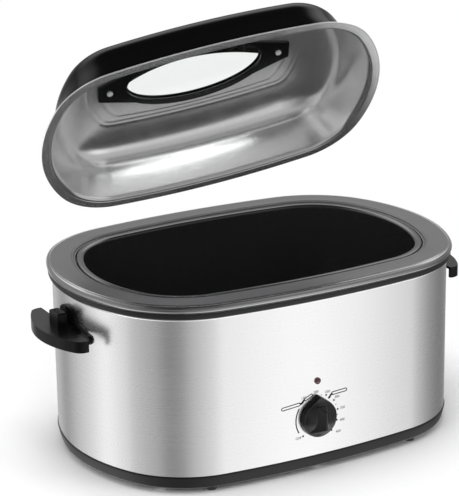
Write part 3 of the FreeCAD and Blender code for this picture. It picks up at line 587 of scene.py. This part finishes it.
PRINT = plastic("print_black", (0.006, 0.006, 0.007), 0.5, 900.0, 0.0, None, 0.15)
# Screw heads: a pale, half-diffuse metal so they show as bright dots; the pale diffuse share is a painted highlight in
# place of their reflections.
SCREW = metal("screw_bright", (0.85, 0.85, 0.85), 0.30, (300.0, 300.0, 300.0), 0.02, 0.03)
set_sockets(SCREW, {"Metallic": 0.45})
PAN = enamel("pan_enamel", (0.014, 0.014, 0.015), 0.16, 0.07, 0.5, 0.4)
LID_BLACK = enamel("lid_enamel", (0.002, 0.002, 0.002), 0.14, 0.0, 0.08, 0.0)
GLASS = clear_glass()
LENS = red_lens()
BLANKET = blanket_fibre()


# Pieces

def body_shell():
    """Steel wrapper: a thin wall from the ring up into the collar, with a small rolled hem under the collar."""
    sheet = 0.8 * MM
    low, high = shell_low.z, shell_high.z
    hem = collar_low.z - 2.2 * MM
    outside = [(BODY_EDGE, z) for z in np.linspace(low, hem - 2.0 * MM, 9)]
    outside += [
        (BODY_EDGE, hem - 1.5 * MM), (BODY_EDGE + 0.4 * MM, hem - 1.2 * MM), (BODY_EDGE + 1.0 * MM, hem - 0.6 * MM),
        (BODY_EDGE + 1.2 * MM, hem), (BODY_EDGE + 1.0 * MM, hem + 0.7 * MM), (BODY_EDGE + 0.4 * MM, hem + 1.3 * MM),
        (BODY_EDGE, hem + 1.7 * MM), (BODY_EDGE, high),
    ]
    inside = [(BODY_EDGE - sheet, z) for z in np.linspace(high, low, 3)]
    wall = sweep("wrapper", outside + inside)
    smooth(wall, 50)
    stand_for(wall, [STEEL], "base", "steel", "body_shell")


def collar():
    """Moulded rim: recessed lower lip, crease, glossy rolled bead, satin flat top and stepped inner edge."""
    low, top = collar_low.z, collar_high.z
    edge = COLLAR_EDGE
    ledge = top - 12.0 * MM
    under = 3.0 * MM
    shelf = 2.0 * MM
    bead_inner = -4.0 * MM
    bead_low = low + 7.0 * MM
    points = [
        (BODY_EDGE, low + 0.2 * MM), (0.2 * MM, low), (1.0 * MM, low + 1.2 * MM), (0.7 * MM, low + 6.6 * MM),
        (-1.0 * MM, low + 7.9 * MM), (edge - 0.6 * MM, low + 9.4 * MM), (edge, top - 5.0 * MM),
        (edge - 2.8 * MM, top - 0.7 * MM), (-3.6 * MM, top - 1.3 * MM), (-4.6 * MM, top - 0.15 * MM),
        (-6.2 * MM, top), (-31.8 * MM, top), (-33.0 * MM, top - 0.9 * MM), (-34.2 * MM, top - 0.9 * MM),
        (-35.5 * MM, top - 2.0 * MM), (-35.6 * MM, ledge), (-43.5 * MM, ledge), (-43.5 * MM, ledge - shelf),
        (-38.0 * MM, ledge - shelf), (-38.0 * MM, top - under), (BODY_EDGE, top - under),
        (BODY_EDGE, low + 0.2 * MM),
    ]
    radii = [0, 0.5, 0.8, 0.8, 0.4, 2.0, 2.8, 2.2, 0.4, 0.5, 0.6, 0.7, 0.3, 0.4, 0.8, 0.3, 0.3, 0.2, 0.3, 1, 0.3, 0]
    profile = round_corners(points, [r * MM for r in radii], 6)[:-1]
    marks = [0 if o <= bead_inner else (1 if z > bead_low else 2) for o, z in profile]
    rim = sweep("rim_moulding", profile, marks)
    smooth(rim, 50)
    stand_for(rim, [COLLAR, BEAD, LIP], "base", "collar_grey", "collar")


def base_ring():
    """Moulded ring under the steel, drawn in towards the table, with an inward flange."""
    low, top = ring_low.z, ring_high.z
    wall = -14.0 * MM
    flange = -28.0 * MM
    flange_top = low + 3.0 * MM
    points = [
        (-8.8 * MM, low), (-7.2 * MM, low + 1.6 * MM), (-3.8 * MM, top - 2.5 * MM), (-3.6 * MM, top - 0.6 * MM),
        (-4.4 * MM, top), (wall, top), (wall, flange_top), (flange, flange_top), (flange, low), (-8.8 * MM, low),
    ]
    radii = [0, 1.2, 2.0, 0.6, 0.5, 0.6, 0.5, 0.5, 0.5, 0]
    band = sweep("ring_moulding", round_corners(points, [r * MM for r in radii])[:-1])
    smooth(band, 50)
    stand_for(band, [RING], "base", "ring_black", "base_ring")


def pan_profile():
    """Half section of the pan from its turned-down lip over the rim and down the inside to the floor."""
    top = pan_high.z
    floor = pan_low.z
    sheet = 1.0 * MM
    lip = -39.0 * MM
    wall = -48.5 * MM
    lower = -58.5 * MM
    outside = [
        (lip, top - 8.7 * MM), (lip, top - 2 * MM), (lip - 1.2 * MM, top), (wall + 1.5 * MM, top),
        (wall - 1.2 * MM, top - 2.2 * MM), (lower - sheet, floor + 21 * MM), (lower - 4 * MM, floor + 9 * MM),
        (lower - 11 * MM, floor + 3 * MM), (lower - 20 * MM, floor + sheet),
    ]
    inside = [
        (lower - 20 * MM, floor), (lower - 10 * MM, floor + 2 * MM), (lower - 3 * MM, floor + 8 * MM),
        (lower, floor + 20 * MM), (wall - 0.4 * MM, top - 3.0 * MM), (wall - 0.2 * MM, top - 1.5 * MM),
        (lip - 1.6 * MM, top - 1.5 * MM), (lip - 1.6 * MM, top - 8.7 * MM),
    ]
    radii = [0, 1.5, 1.6, 2.6, 2.6, 9, 9, 8, 0, 0, 8, 9, 9, 1, 1, 1, 0]
    return round_corners(outside + inside, [r * MM for r in radii]), sheet


def pan():
    """Cooking pan with a pressed groove round its floor."""
    profile, sheet = pan_profile()
    floor = pan_low.z
    cut = next(i for i, (o, z) in enumerate(profile) if o <= PAN_FLAT + 0.001 * MM)
    upper = [ring(o, z) for o, z in profile[:cut + 1]]
    groove = list(zip(PAN_SCALES, PAN_GROOVE))
    top_floor = [ring(PAN_FLAT, floor + sheet + g, scale=s) for s, g in groove]
    under_floor = [ring(PAN_FLAT, floor + g * 0.5, scale=s) for s, g in groove[::-1]]
    lower = [ring(o, z) for o, z in profile[cut + 1:]]
    bowl = skin("pan_drawn", upper + top_floor + under_floor + lower)
    smooth(bowl, 40)
    stand_for(bowl, [PAN], "pan", "pan_enamel", "pan")


def dome_levels(shrink, low, high):
    """Levels of the dome's wall from rim to crown as (offset, height, shortening), made smaller by shrink."""
    return [
        (LID_WALL - shrink - inward * DOME_ROUND, low + up * (high - low), short * DOME_SHORTEN)
        for inward, up, short in DOME_PROFILE
    ]


def crown(edge):
    """Loops from the dome's edge in to the oval window: P = (1 - t) edge + t oval, with one pressed bead."""
    oval = oval_ring(*WINDOW_OVAL, edge)
    loops = []
    for t in np.linspace(0.0, 1.0, CROWN_STEPS)[1:]:
        loop = edge * (1 - t) + oval * t
        loop[:, 2] = edge[0, 2] + CROWN_RISE * math.sin(t * math.pi / 2) + pressed_bead(t, *CROWN_BEAD)
        loops.append(loop)
    return loops


def wall_loops(levels):
    """Loops of the dome's wall, with more of them on its last stretch and the outer pressed bead on it."""
    start, stop = np.array(levels[-2]), np.array(levels[-1])
    more = [start * (1 - t) + stop * t for t in np.linspace(0, 1, TOP_STEPS)[1:]]
    return [ring(o, z + pressed_bead(o, *WALL_BEAD), s) for o, z, s in levels[:-1] + more]


def lid_shell():
    """Drawn lid: rolled rim, flared wall, crowned top with two pressed beads round the oval window."""
    seat = pan_high.z + LID_SEAT_GAP
    top = seat + DOME_HEIGHT
    rim = LID_RIM
    outside = [
        (rim - 0.2 * MM, seat - 0.1 * MM, 0.0), (rim + 0.5 * MM, seat + 0.7 * MM, 0.0), (rim, seat + 1.9 * MM, 0.0),
        (rim - 1.8 * MM, seat + 1.9 * MM, 0.0), (rim - 2.6 * MM, seat + 1.0 * MM, 0.0),
        (LID_WALL + 1.0 * MM, seat + 1.0 * MM, 0.0), (LID_WALL - 0.4 * MM, seat + 4 * MM, 0.8 * MM),
    ] + dome_levels(0.0, seat, top)[1:]
    inside = [
        (rim - 2.2 * MM, seat, 0.0), (LID_WALL + 3.4 * MM, seat, 0.0), (LID_WALL + 2.6 * MM, seat + 1.0 * MM, 0.0),
        (LID_WALL + 0.6 * MM, seat + 1.2 * MM, 0.0), (LID_WALL - 1.6 * MM, seat + 5 * MM, 0.9 * MM),
    ] + dome_levels(LID_SHEET, seat, top - LID_SHEET)[1:]
    outer = wall_loops(round_corners(outside, [x * MM for x in (0, .6, .6, .6, .6, 2, 3, 18, 14, 12, 9, 9, 10, 0)], 6))
    inner = wall_loops(round_corners(inside, [x * MM for x in (0, .5, .5, 1, 3, 18, 14, 12, 9, 9, 10, 0)], 6))
    up = crown(outer[-1])
    down = crown(inner[-1])
    loops = outer + up + down[::-1] + inner[::-1]
    marks = [1] * RIM_LOOPS + [0] * (len(outer) + len(up) - RIM_LOOPS) + [1] * (len(down) + len(inner))
    dome = skin("lid_drawn", loops, marks=marks)
    smooth(dome, 45)
    dome.data.transform(lid_swing())
    stand_for(dome, [LID_BLACK, LID_STEEL], "lid", "lid_metal", "lid_shell")


def knob_height(x, z):
    """Height over the skirt's foot: a dome h = D (1 - r^2 / R^2), and a wedge as high as its nearest side allows."""
    radius = np.hypot(x, z)
    rounded = SKIRT + DOME_RISE * np.clip(1 - (radius / DOME_REACH) ** 2, 0, None)
    along = np.clip((z + FIN_DOWN) / (FIN_DOWN + FIN_UP), 0, 1)
    root = FIN_ROOT * (1 - ROOT_TAPER * along)
    ridge = FIN_RIDGE * (1 - RIDGE_TAPER * along)
    ends = np.minimum((z + FIN_DOWN + TAIL_OUT) / TAIL_SLOPE, (FIN_UP - z) / NOSE_SLOPE)
    share = np.minimum((root - np.abs(x)) / (root - ridge), ends)
    wedge = SKIRT - FIN_SUNK + np.clip(share, 0, 1) * (DOME_RISE + FIN_RISE + FIN_SUNK)
    meet = math.log(2) * np.exp(-np.abs(rounded - wedge))
    return BLEND * np.logaddexp(rounded / BLEND, wedge / BLEND) - BLEND * meet


def knob():
    """Pointed knob as a polar surface: R(t) = r / cos(lean - |t|) beside the pointer, r elsewhere, then averaged."""
    turn = joint("knob_turn")
    back = front_y(turn["pos_m"][0], BODY_EDGE) - KNOB_BACK * MM
    lean = math.acos(KNOB_RADIUS / KNOB_TIP)
    around, inward = KNOB_STEPS
    t = np.linspace(-math.pi, math.pi, around + 1)[:-1]
    edge = np.where(np.abs(t) < lean, KNOB_RADIUS / np.cos(lean - np.abs(t)), KNOB_RADIUS)
    edge = sum(np.roll(edge, shift) for shift in (2, 1, 0, -1, -2)) / 5
    loops = []
    for inset, height in SKIRT_EDGE:
        reach = edge - inset
        loops.append(np.c_[reach * np.sin(t), np.full(len(t), height), reach * np.cos(t)])
    for share in np.linspace(1.0, 0.012, inward)[1:]:
        reach = (edge - inset) * share
        x, z = reach * np.sin(t), reach * np.cos(t)
        loops.append(np.c_[x, np.maximum(knob_height(x, z), height if share > 0.97 else 0.0), z])
    centre = np.array([turn["pos_m"][0], back, turn["pos_m"][2]])
    rings = [loop * (MM, -MM, MM) + centre for loop in loops]
    body = skin("knob_moulding", rings, closed=False, caps=True)
    smooth(body, 38)
    stand_for(body, [KNOB], "control", "knob_black", "knob")


# Print round the knob

def on_front(thing, x, z):
    """Wrap a flat drawing, made in its own X and Y, onto the front wall about a point."""
    points = thing.data.vertices
    flat = np.empty(3 * len(points), np.float32)
    points.foreach_get("co", flat)
    flat = flat.reshape(-1, 3).astype(float)
    along = x + flat[:, 0]
    wrapped = np.c_[along, front_y(along, BODY_EDGE + PRINT_LIFT), z + flat[:, 1]]
    points.foreach_set("co", wrapped.astype(np.float32).ravel())
    thing.data.update()
    return thing


def sideways(points):
    """The unit normal of a line of points at each of them."""
    way = np.gradient(points, axis=0)
    way /= np.linalg.norm(way, axis=1)[:, None]
    return np.c_[-way[:, 1], way[:, 0]]


def stroke(name, points, width):
    """A flat line of even width through points, mitred at its corners: P = p +- n w / 2."""
    pts = np.array(points, float)
    side = sideways(pts) * width / 2
    n = len(pts)
    verts = np.c_[np.vstack([pts + side, pts - side]), np.zeros(2 * n)]
    i = np.arange(n - 1)
    return mesh_of(name, verts, np.c_[i, i + 1, n + i + 1, n + i].tolist())


def dot(name, radius):
    """A flat disc: P = r (cos t, sin t)."""
    t = np.linspace(0, 2 * math.pi, DOT_STEPS + 1)[:-1]
    verts = np.c_[radius * np.cos(t), radius * np.sin(t), np.zeros(DOT_STEPS)]
    return mesh_of(name, verts, [list(range(DOT_STEPS))])


def words(name, text, size):
    """Flat lettering as a mesh, centred on its own origin."""
    curve = bpy.data.curves.new(name, "FONT")
    curve.body = text
    curve.size = size
    curve.align_x = "CENTER"
    curve.align_y = "CENTER"
    curve.resolution_u = 3
    holder = bpy.data.objects.new(name, curve)
    bpy.context.scene.collection.objects.link(holder)
    bpy.context.view_layer.update()
    mesh = bpy.data.meshes.new_from_object(holder)
    bpy.data.objects.remove(holder)
    thing = bpy.data.objects.new(name, mesh)
    bpy.context.scene.collection.objects.link(thing)
    return thing


def pill(name, points, half, width):
    """The outline of a bar of rounded ends that follows a line of points."""
    pts = np.array(points, float)
    side = sideways(pts) * half
    turns = np.linspace(0, math.pi, 9)[1:-1]

    def cap(at, heading, start):
        """A half circle round an end."""
        angle = math.atan2(heading[1], heading[0]) + start - turns
        return at + half * np.c_[np.cos(angle), np.sin(angle)]

    far = cap(pts[-1], pts[-1] - pts[-2], math.pi / 2)
    near = cap(pts[0], pts[1] - pts[0], -math.pi / 2)
    loop = np.vstack([pts + side, far, (pts - side)[::-1], near])
    return stroke(name, np.vstack([loop, loop[:2]]), width)


def dial_print():
    """Marks round the knob: dots and plain numbers on a circle, an arc and two bare label outlines."""
    turn = joint("knob_turn")
    cx, cz = turn["pos_m"][0], turn["pos_m"][2]
    made = []

    def put(piece, degrees, radius):
        """Place a mark on a circle, by its angle from the top."""
        a = math.radians(90 - degrees)
        made.append(on_front(piece, cx + radius * MM * math.cos(a), cz + radius * MM * math.sin(a)))

    for degrees in (-3.4, 25, 53, 81, 109, 137, -135.4):
        put(dot("mark", 1.4 * MM), degrees, 32.2)
    for degrees in (11, 39, 67, 95, 123):
        put(dot("half_mark", 0.7 * MM), degrees, 31.6)
    figures = [("150", -34, 38.5), ("200", -3.4, 37.0), ("250", 25, 37.0), ("300", 53, 38.5), ("350", 82, 40.0),
               ("400", 107, 41.0), ("450", 130, 43.0), ("OFF", -130, 38.5)]
    for label, degrees, radius in figures:
        put(words("figures_" + label, label, 5.2 * MM), degrees, radius)
    angles = np.radians(np.linspace(147, 211, 30))
    drawn = [stroke("slow_arc", np.c_[33.4 * MM * np.cos(angles), 33.4 * MM * np.sin(angles)], 1.7 * MM)]
    leads = [
        ("left_lead", 3.0, [(-27.5, 24.3), (-24.0, 25.0), (-21.8, 27.8), (-19.5, 29.2)]),
        ("right_lead", 2.8, [(17.0, 23.5), (19.0, 25.6), (21.0, 28.3), (23.6, 29.6)]),
    ]
    labels = [
        ("left_label", 2.0, [(-53, 21.8), (-40, 23.0), (-28.5, 24.2)]),
        ("left_upper_label", 1.7, [(-19.0, 29.4), (-14.0, 31.6), (-9.5, 33.6)]),
        ("right_label", 2.0, [(24.0, 29.6), (34.0, 30.2), (44.5, 30.6)]),
    ]
    drawn += [stroke(name, np.array(line) * MM, width * MM) for name, width, line in leads]
    drawn += [pill(name, np.array(line) * MM, half * MM, 1.25 * MM) for name, half, line in labels]
    made += [on_front(piece, cx, cz) for piece in drawn]
    bpy.ops.object.select_all(action="DESELECT")
    for piece in made:
        piece.data.materials.clear()
        piece.data.materials.append(PRINT)
        piece.select_set(True)
    bpy.context.view_layer.objects.active = made[0]
    bpy.ops.object.join()
    marks_piece = made[0]
    marks_piece.name = "dial_marks"
    stand_for(marks_piece, [], "base", "knob_black")


def finish_solids():
    """Finishes for the pieces that keep the frame's own solids."""
    plain = {
        "bottom_plate": (PLATE, 0.2), "base_screws": (CHROME, 0.3), "liner": (LINER, 0.0),
        "heater_band_lower": (HEATER, 0.0), "heater_band_upper": (HEATER, 0.0), "insulation": (BLANKET, 0.0),
        "thermostat": (CASE, 0.3), "thermostat_bracket": (ZINC, 0.1), "thermostat_shaft": (SHAFT, 0.1),
        "lamp_housing": (CASE, 0.2), "cord_gland": (RING, 0.5), "terminal_block": (TERMINAL, 0.4),
        "indicator_lens": (LENS, 0.25), "handle_left": (HANDLE, 0.9), "handle_right": (HANDLE, 0.9),
        "handle_screws_left": (CHROME, 0.2), "handle_screws_right": (CHROME, 0.2), "lid_screws": (SCREW, 0.4),
        "rack_grid": (CHROME, 0.0), "rack_handle_left": (CHROME, 0.0),
        "rack_handle_right": (CHROME, 0.0), "window_glass": (GLASS, 0.4), "window_gasket": (GASKET, 0.1),
        "window_bezel": (FRAME, 0.7), "window_frame": (FRAME, 0.6), "lid_handle": (FRAME, 2.2),
    }
    for place in ("front_left", "front_right", "rear_left", "rear_right"):
        plain["foot_" + place] = (FOOT, 0.8)
        plain["standoff_" + place] = (LINER, 0.2)
    for node, (material, bevel) in plain.items():
        finish_node(node, material, bevel * MM)


# Studio

def camera():
    """The photograph's camera."""
    az, el, roll = (math.radians(a) for a in (CAMERA_AZIMUTH, CAMERA_ELEVATION, CAMERA_ROLL))
    back = Vector((math.sin(az) * math.cos(el), -math.cos(az) * math.cos(el), math.sin(el)))
    level = Vector((math.cos(az), math.sin(az), 0))
    upright = back.cross(level)
    right = level * math.cos(roll) + upright * math.sin(roll)
    up = upright * math.cos(roll) - level * math.sin(roll)
    place = Vector((0, MIDDLE_Y, CAMERA_AIM_HEIGHT)) + back * CAMERA_DISTANCE
    place += level * CAMERA_SHIFT[0] + upright * CAMERA_SHIFT[1]
    data = bpy.data.cameras.new("camera")
    data.lens = CAMERA_LENS
    data.sensor_width = 36.0
    data.clip_start = 0.05
    holder = bpy.data.objects.new("camera", data)
    turn = Matrix((right, up, back)).transposed()
    holder.matrix_world = Matrix.Translation(place) @ turn.to_4x4()
    bpy.context.scene.collection.objects.link(holder)
    bpy.context.scene.camera = holder


def ramp(tree, value, stops):
    """A grey ramp through (place, brightness) stops, read at a value. Returns its colour."""
    node = tree.nodes.new("ShaderNodeValToRGB")
    node.color_ramp.interpolation = "EASE"
    bar = node.color_ramp.elements
    while len(bar) < len(stops):
        bar.new(0.5)
    for mark, (place, bright) in zip(bar, stops):
        mark.position = place
        mark.color = (bright, bright, bright, 1.0)
    tree.links.new(value, node.inputs["Fac"])
    return node.outputs["Color"]


def background(tree, color, strength=1.0):
    """A background shader of a colour, plain or from a socket."""
    node = tree.nodes.new("ShaderNodeBackground")
    feed(tree, node.inputs["Color"], color)
    node.inputs["Strength"].default_value = strength
    return node.outputs["Background"]


def studio_world():
    """White to the camera; to shiny surfaces, a studio of bright and dark panels set by direction.

    Below the horizon the panels stand round the table, and above it there is a bright front and a soft rear.
    """
    world = bpy.data.worlds.new("studio")
    bpy.context.scene.world = world
    world.use_nodes = True
    tree = world.node_tree
    tree.nodes.clear()
    where = tree.nodes.new("ShaderNodeTexCoord")
    parts = tree.nodes.new("ShaderNodeSeparateXYZ")
    tree.links.new(where.outputs["Generated"], parts.inputs[0])
    front = math_node(tree, "MULTIPLY", parts.outputs["Y"], -1.0)
    turn = math_node(tree, "ARCTAN2", parts.outputs["X"], front)
    share = math_node(tree, "ADD", math_node(tree, "DIVIDE", turn, 2 * math.pi), 0.5)
    rise = math_node(tree, "ADD", math_node(tree, "MULTIPLY", parts.outputs["Z"], 0.5), 0.5)

    def level(degrees):
        """The place on a rise ramp of an angle over the horizon."""
        return math.sin(math.radians(degrees)) / 2 + 0.5

    def by_turn(*stops):
        """A ramp over the angle round the object, 0 at the front and positive to the right."""
        return ramp(tree, share, [(degrees / 360 + 0.5, bright) for degrees, bright in stops])

    def by_rise(*stops):
        """A ramp over the angle above the horizon."""
        return ramp(tree, rise, [(level(degrees), bright) for degrees, bright in stops])

    def times(a, b):
        """One colour times another."""
        return mix_color(tree, a, b, kind="MULTIPLY")

    def plus(a, b):
        """One colour added to another."""
        return mix_color(tree, a, b, kind="ADD")

    table = by_turn(
        (-180, 0.50), (-175, 0.45), (-166, 0.20), (-156, 0.42), (-144, 0.60), (-131, 0.74), (-117, 1.12),
        (-104, 0.80), (-88, 0.50), (-66, 0.38), (-46, 0.14), (-34, 0.20), (-20, 0.46), (0, 0.66), (15, 0.92),
        (28, 1.20), (38, 1.05), (48, 0.66), (61, 0.46), (80, 0.26), (101, 0.16), (118, 0.20), (134, 0.38),
        (152, 0.50), (180, 0.58))
    table_fall = by_rise((-90, 1.15), (-60, 1.10), (-30, 0.97), (-19, 0.98), (-15, 1.10), (-8, 1.0), (90, 0.9))
    floor_ring = by_rise((-90, 0.02), (-69, 0.04), (-58, 0.85), (-42, 0.95), (-29, 0.04), (90, 0.0))
    skyline = by_turn(
        (-180, 0.34), (-150, 0.50), (-110, 0.55), (-60, 0.30), (-20, 0.40), (15, 0.45), (60, 0.45), (100, 0.30),
        (150, 0.34), (180, 0.34))
    sky = by_turn(
        (-180, 1.0), (-150, 0.95), (-122, 0.40), (-92, 0.27), (-62, 0.06), (-36, 0.03), (-14, 0.12), (12, 0.12),
        (32, 0.34), (68, 0.50), (90, 0.95), (180, 1.0))
    sky_rise = by_rise((-90, 0.0), (16, 0.0), (27, 0.7), (34, 1.0), (43, 0.9), (58, 0.05), (90, 0.01))
    low_rise = by_rise((-90, 1.2), (12, 1.2), (30, 0.10), (70, 0.05), (90, 0.04))
    panels = times(times(sky, sky_rise), (2.2, 2.2, 2.2, 1.0))
    upper = plus(times(skyline, low_rise), panels)
    lower = plus(times(table, table_fall), floor_ring)
    shiny = background(tree, mix_color(tree, lower, upper, smoothstep(tree, rise, level(-11), level(-2))))
    light = tree.nodes.new("ShaderNodeLightPath")
    unseen = mix_shader(tree, light.outputs["Is Glossy Ray"], background(tree, WHITE, 0.7), shiny)
    seen = math_node(tree, "MAXIMUM", light.outputs["Is Camera Ray"], light.outputs["Is Transmission Ray"])
    out = tree.nodes.new("ShaderNodeOutputWorld")
    tree.links.new(mix_shader(tree, seen, unseen, background(tree, WHITE)), out.inputs["Surface"])


def floor():
    """Pale floor with a soft shadow near the object, pure white further off, and clear to shiny surfaces."""
    size = 6.0
    corners = [(-size, -size, 0.0), (size, -size, 0.0), (size, size, 0.0), (-size, size, 0.0)]
    ground = mesh_of("floor", corners, [(0, 1, 2, 3)])
    material, tree, shader = base_material("floor_white", (0.90, 0.90, 0.90), 0.0, 0.9)
    shader.inputs["Specular IOR Level"].default_value = 0.0
    glow = tree.nodes.new("ShaderNodeEmission")
    where = tree.nodes.new("ShaderNodeTexCoord")
    far = tree.nodes.new("ShaderNodeVectorMath")
    far.operation = "LENGTH"
    tree.links.new(where.outputs["Object"], far.inputs[0])
    clear = tree.nodes.new("ShaderNodeBsdfTransparent")
    light = tree.nodes.new("ShaderNodeLightPath")
    fade = smoothstep(tree, far.outputs["Value"], 0.36, 0.80)
    seen = math_node(tree, "MULTIPLY", fade, light.outputs["Is Camera Ray"])
    pale = mix_shader(tree, seen, shader.outputs["BSDF"], glow.outputs["Emission"])
    mixed = mix_shader(tree, light.outputs["Is Glossy Ray"], pale, clear.outputs["BSDF"])
    tree.links.new(mixed, tree.nodes["Material Output"].inputs["Surface"])
    ground.data.materials.append(material)


def lamp(name, place, target, size, power):
    """A square soft light aimed at a point, left out of reflections."""
    data = bpy.data.lights.new(name, "AREA")
    data.shape = "SQUARE"
    data.size = size
    data.energy = power
    holder = bpy.data.objects.new(name, data)
    holder.location = place
    aim = Vector(target) - Vector(place)
    holder.rotation_euler = aim.to_track_quat("-Z", "Y").to_euler()
    holder.visible_glossy = False
    bpy.context.scene.collection.objects.link(holder)


def studio():
    """World, floor and soft lamps."""
    studio_world()
    floor()
    lamp("overhead", (-0.2, 0.1, 2.4), (0.0, 0.0, 0.15), 1.6, 24.0)
    lamp("left", (-1.8, -1.0, 1.2), (-0.1, 0.0, 0.15), 0.9, 9.0)
    lamp("front", (1.3, -1.9, 1.0), (0.0, 0.0, 0.15), 0.9, 8.0)
    lamp("strip", (-0.5, -1.2, 2.3), (0.0, 0.0, 0.25), 0.5, 7.0)
    bpy.context.scene.view_settings.view_transform = "Standard"


body_shell()
collar()
base_ring()
pan()
lid_shell()
knob()
dial_print()
finish_solids()
studio()
camera()
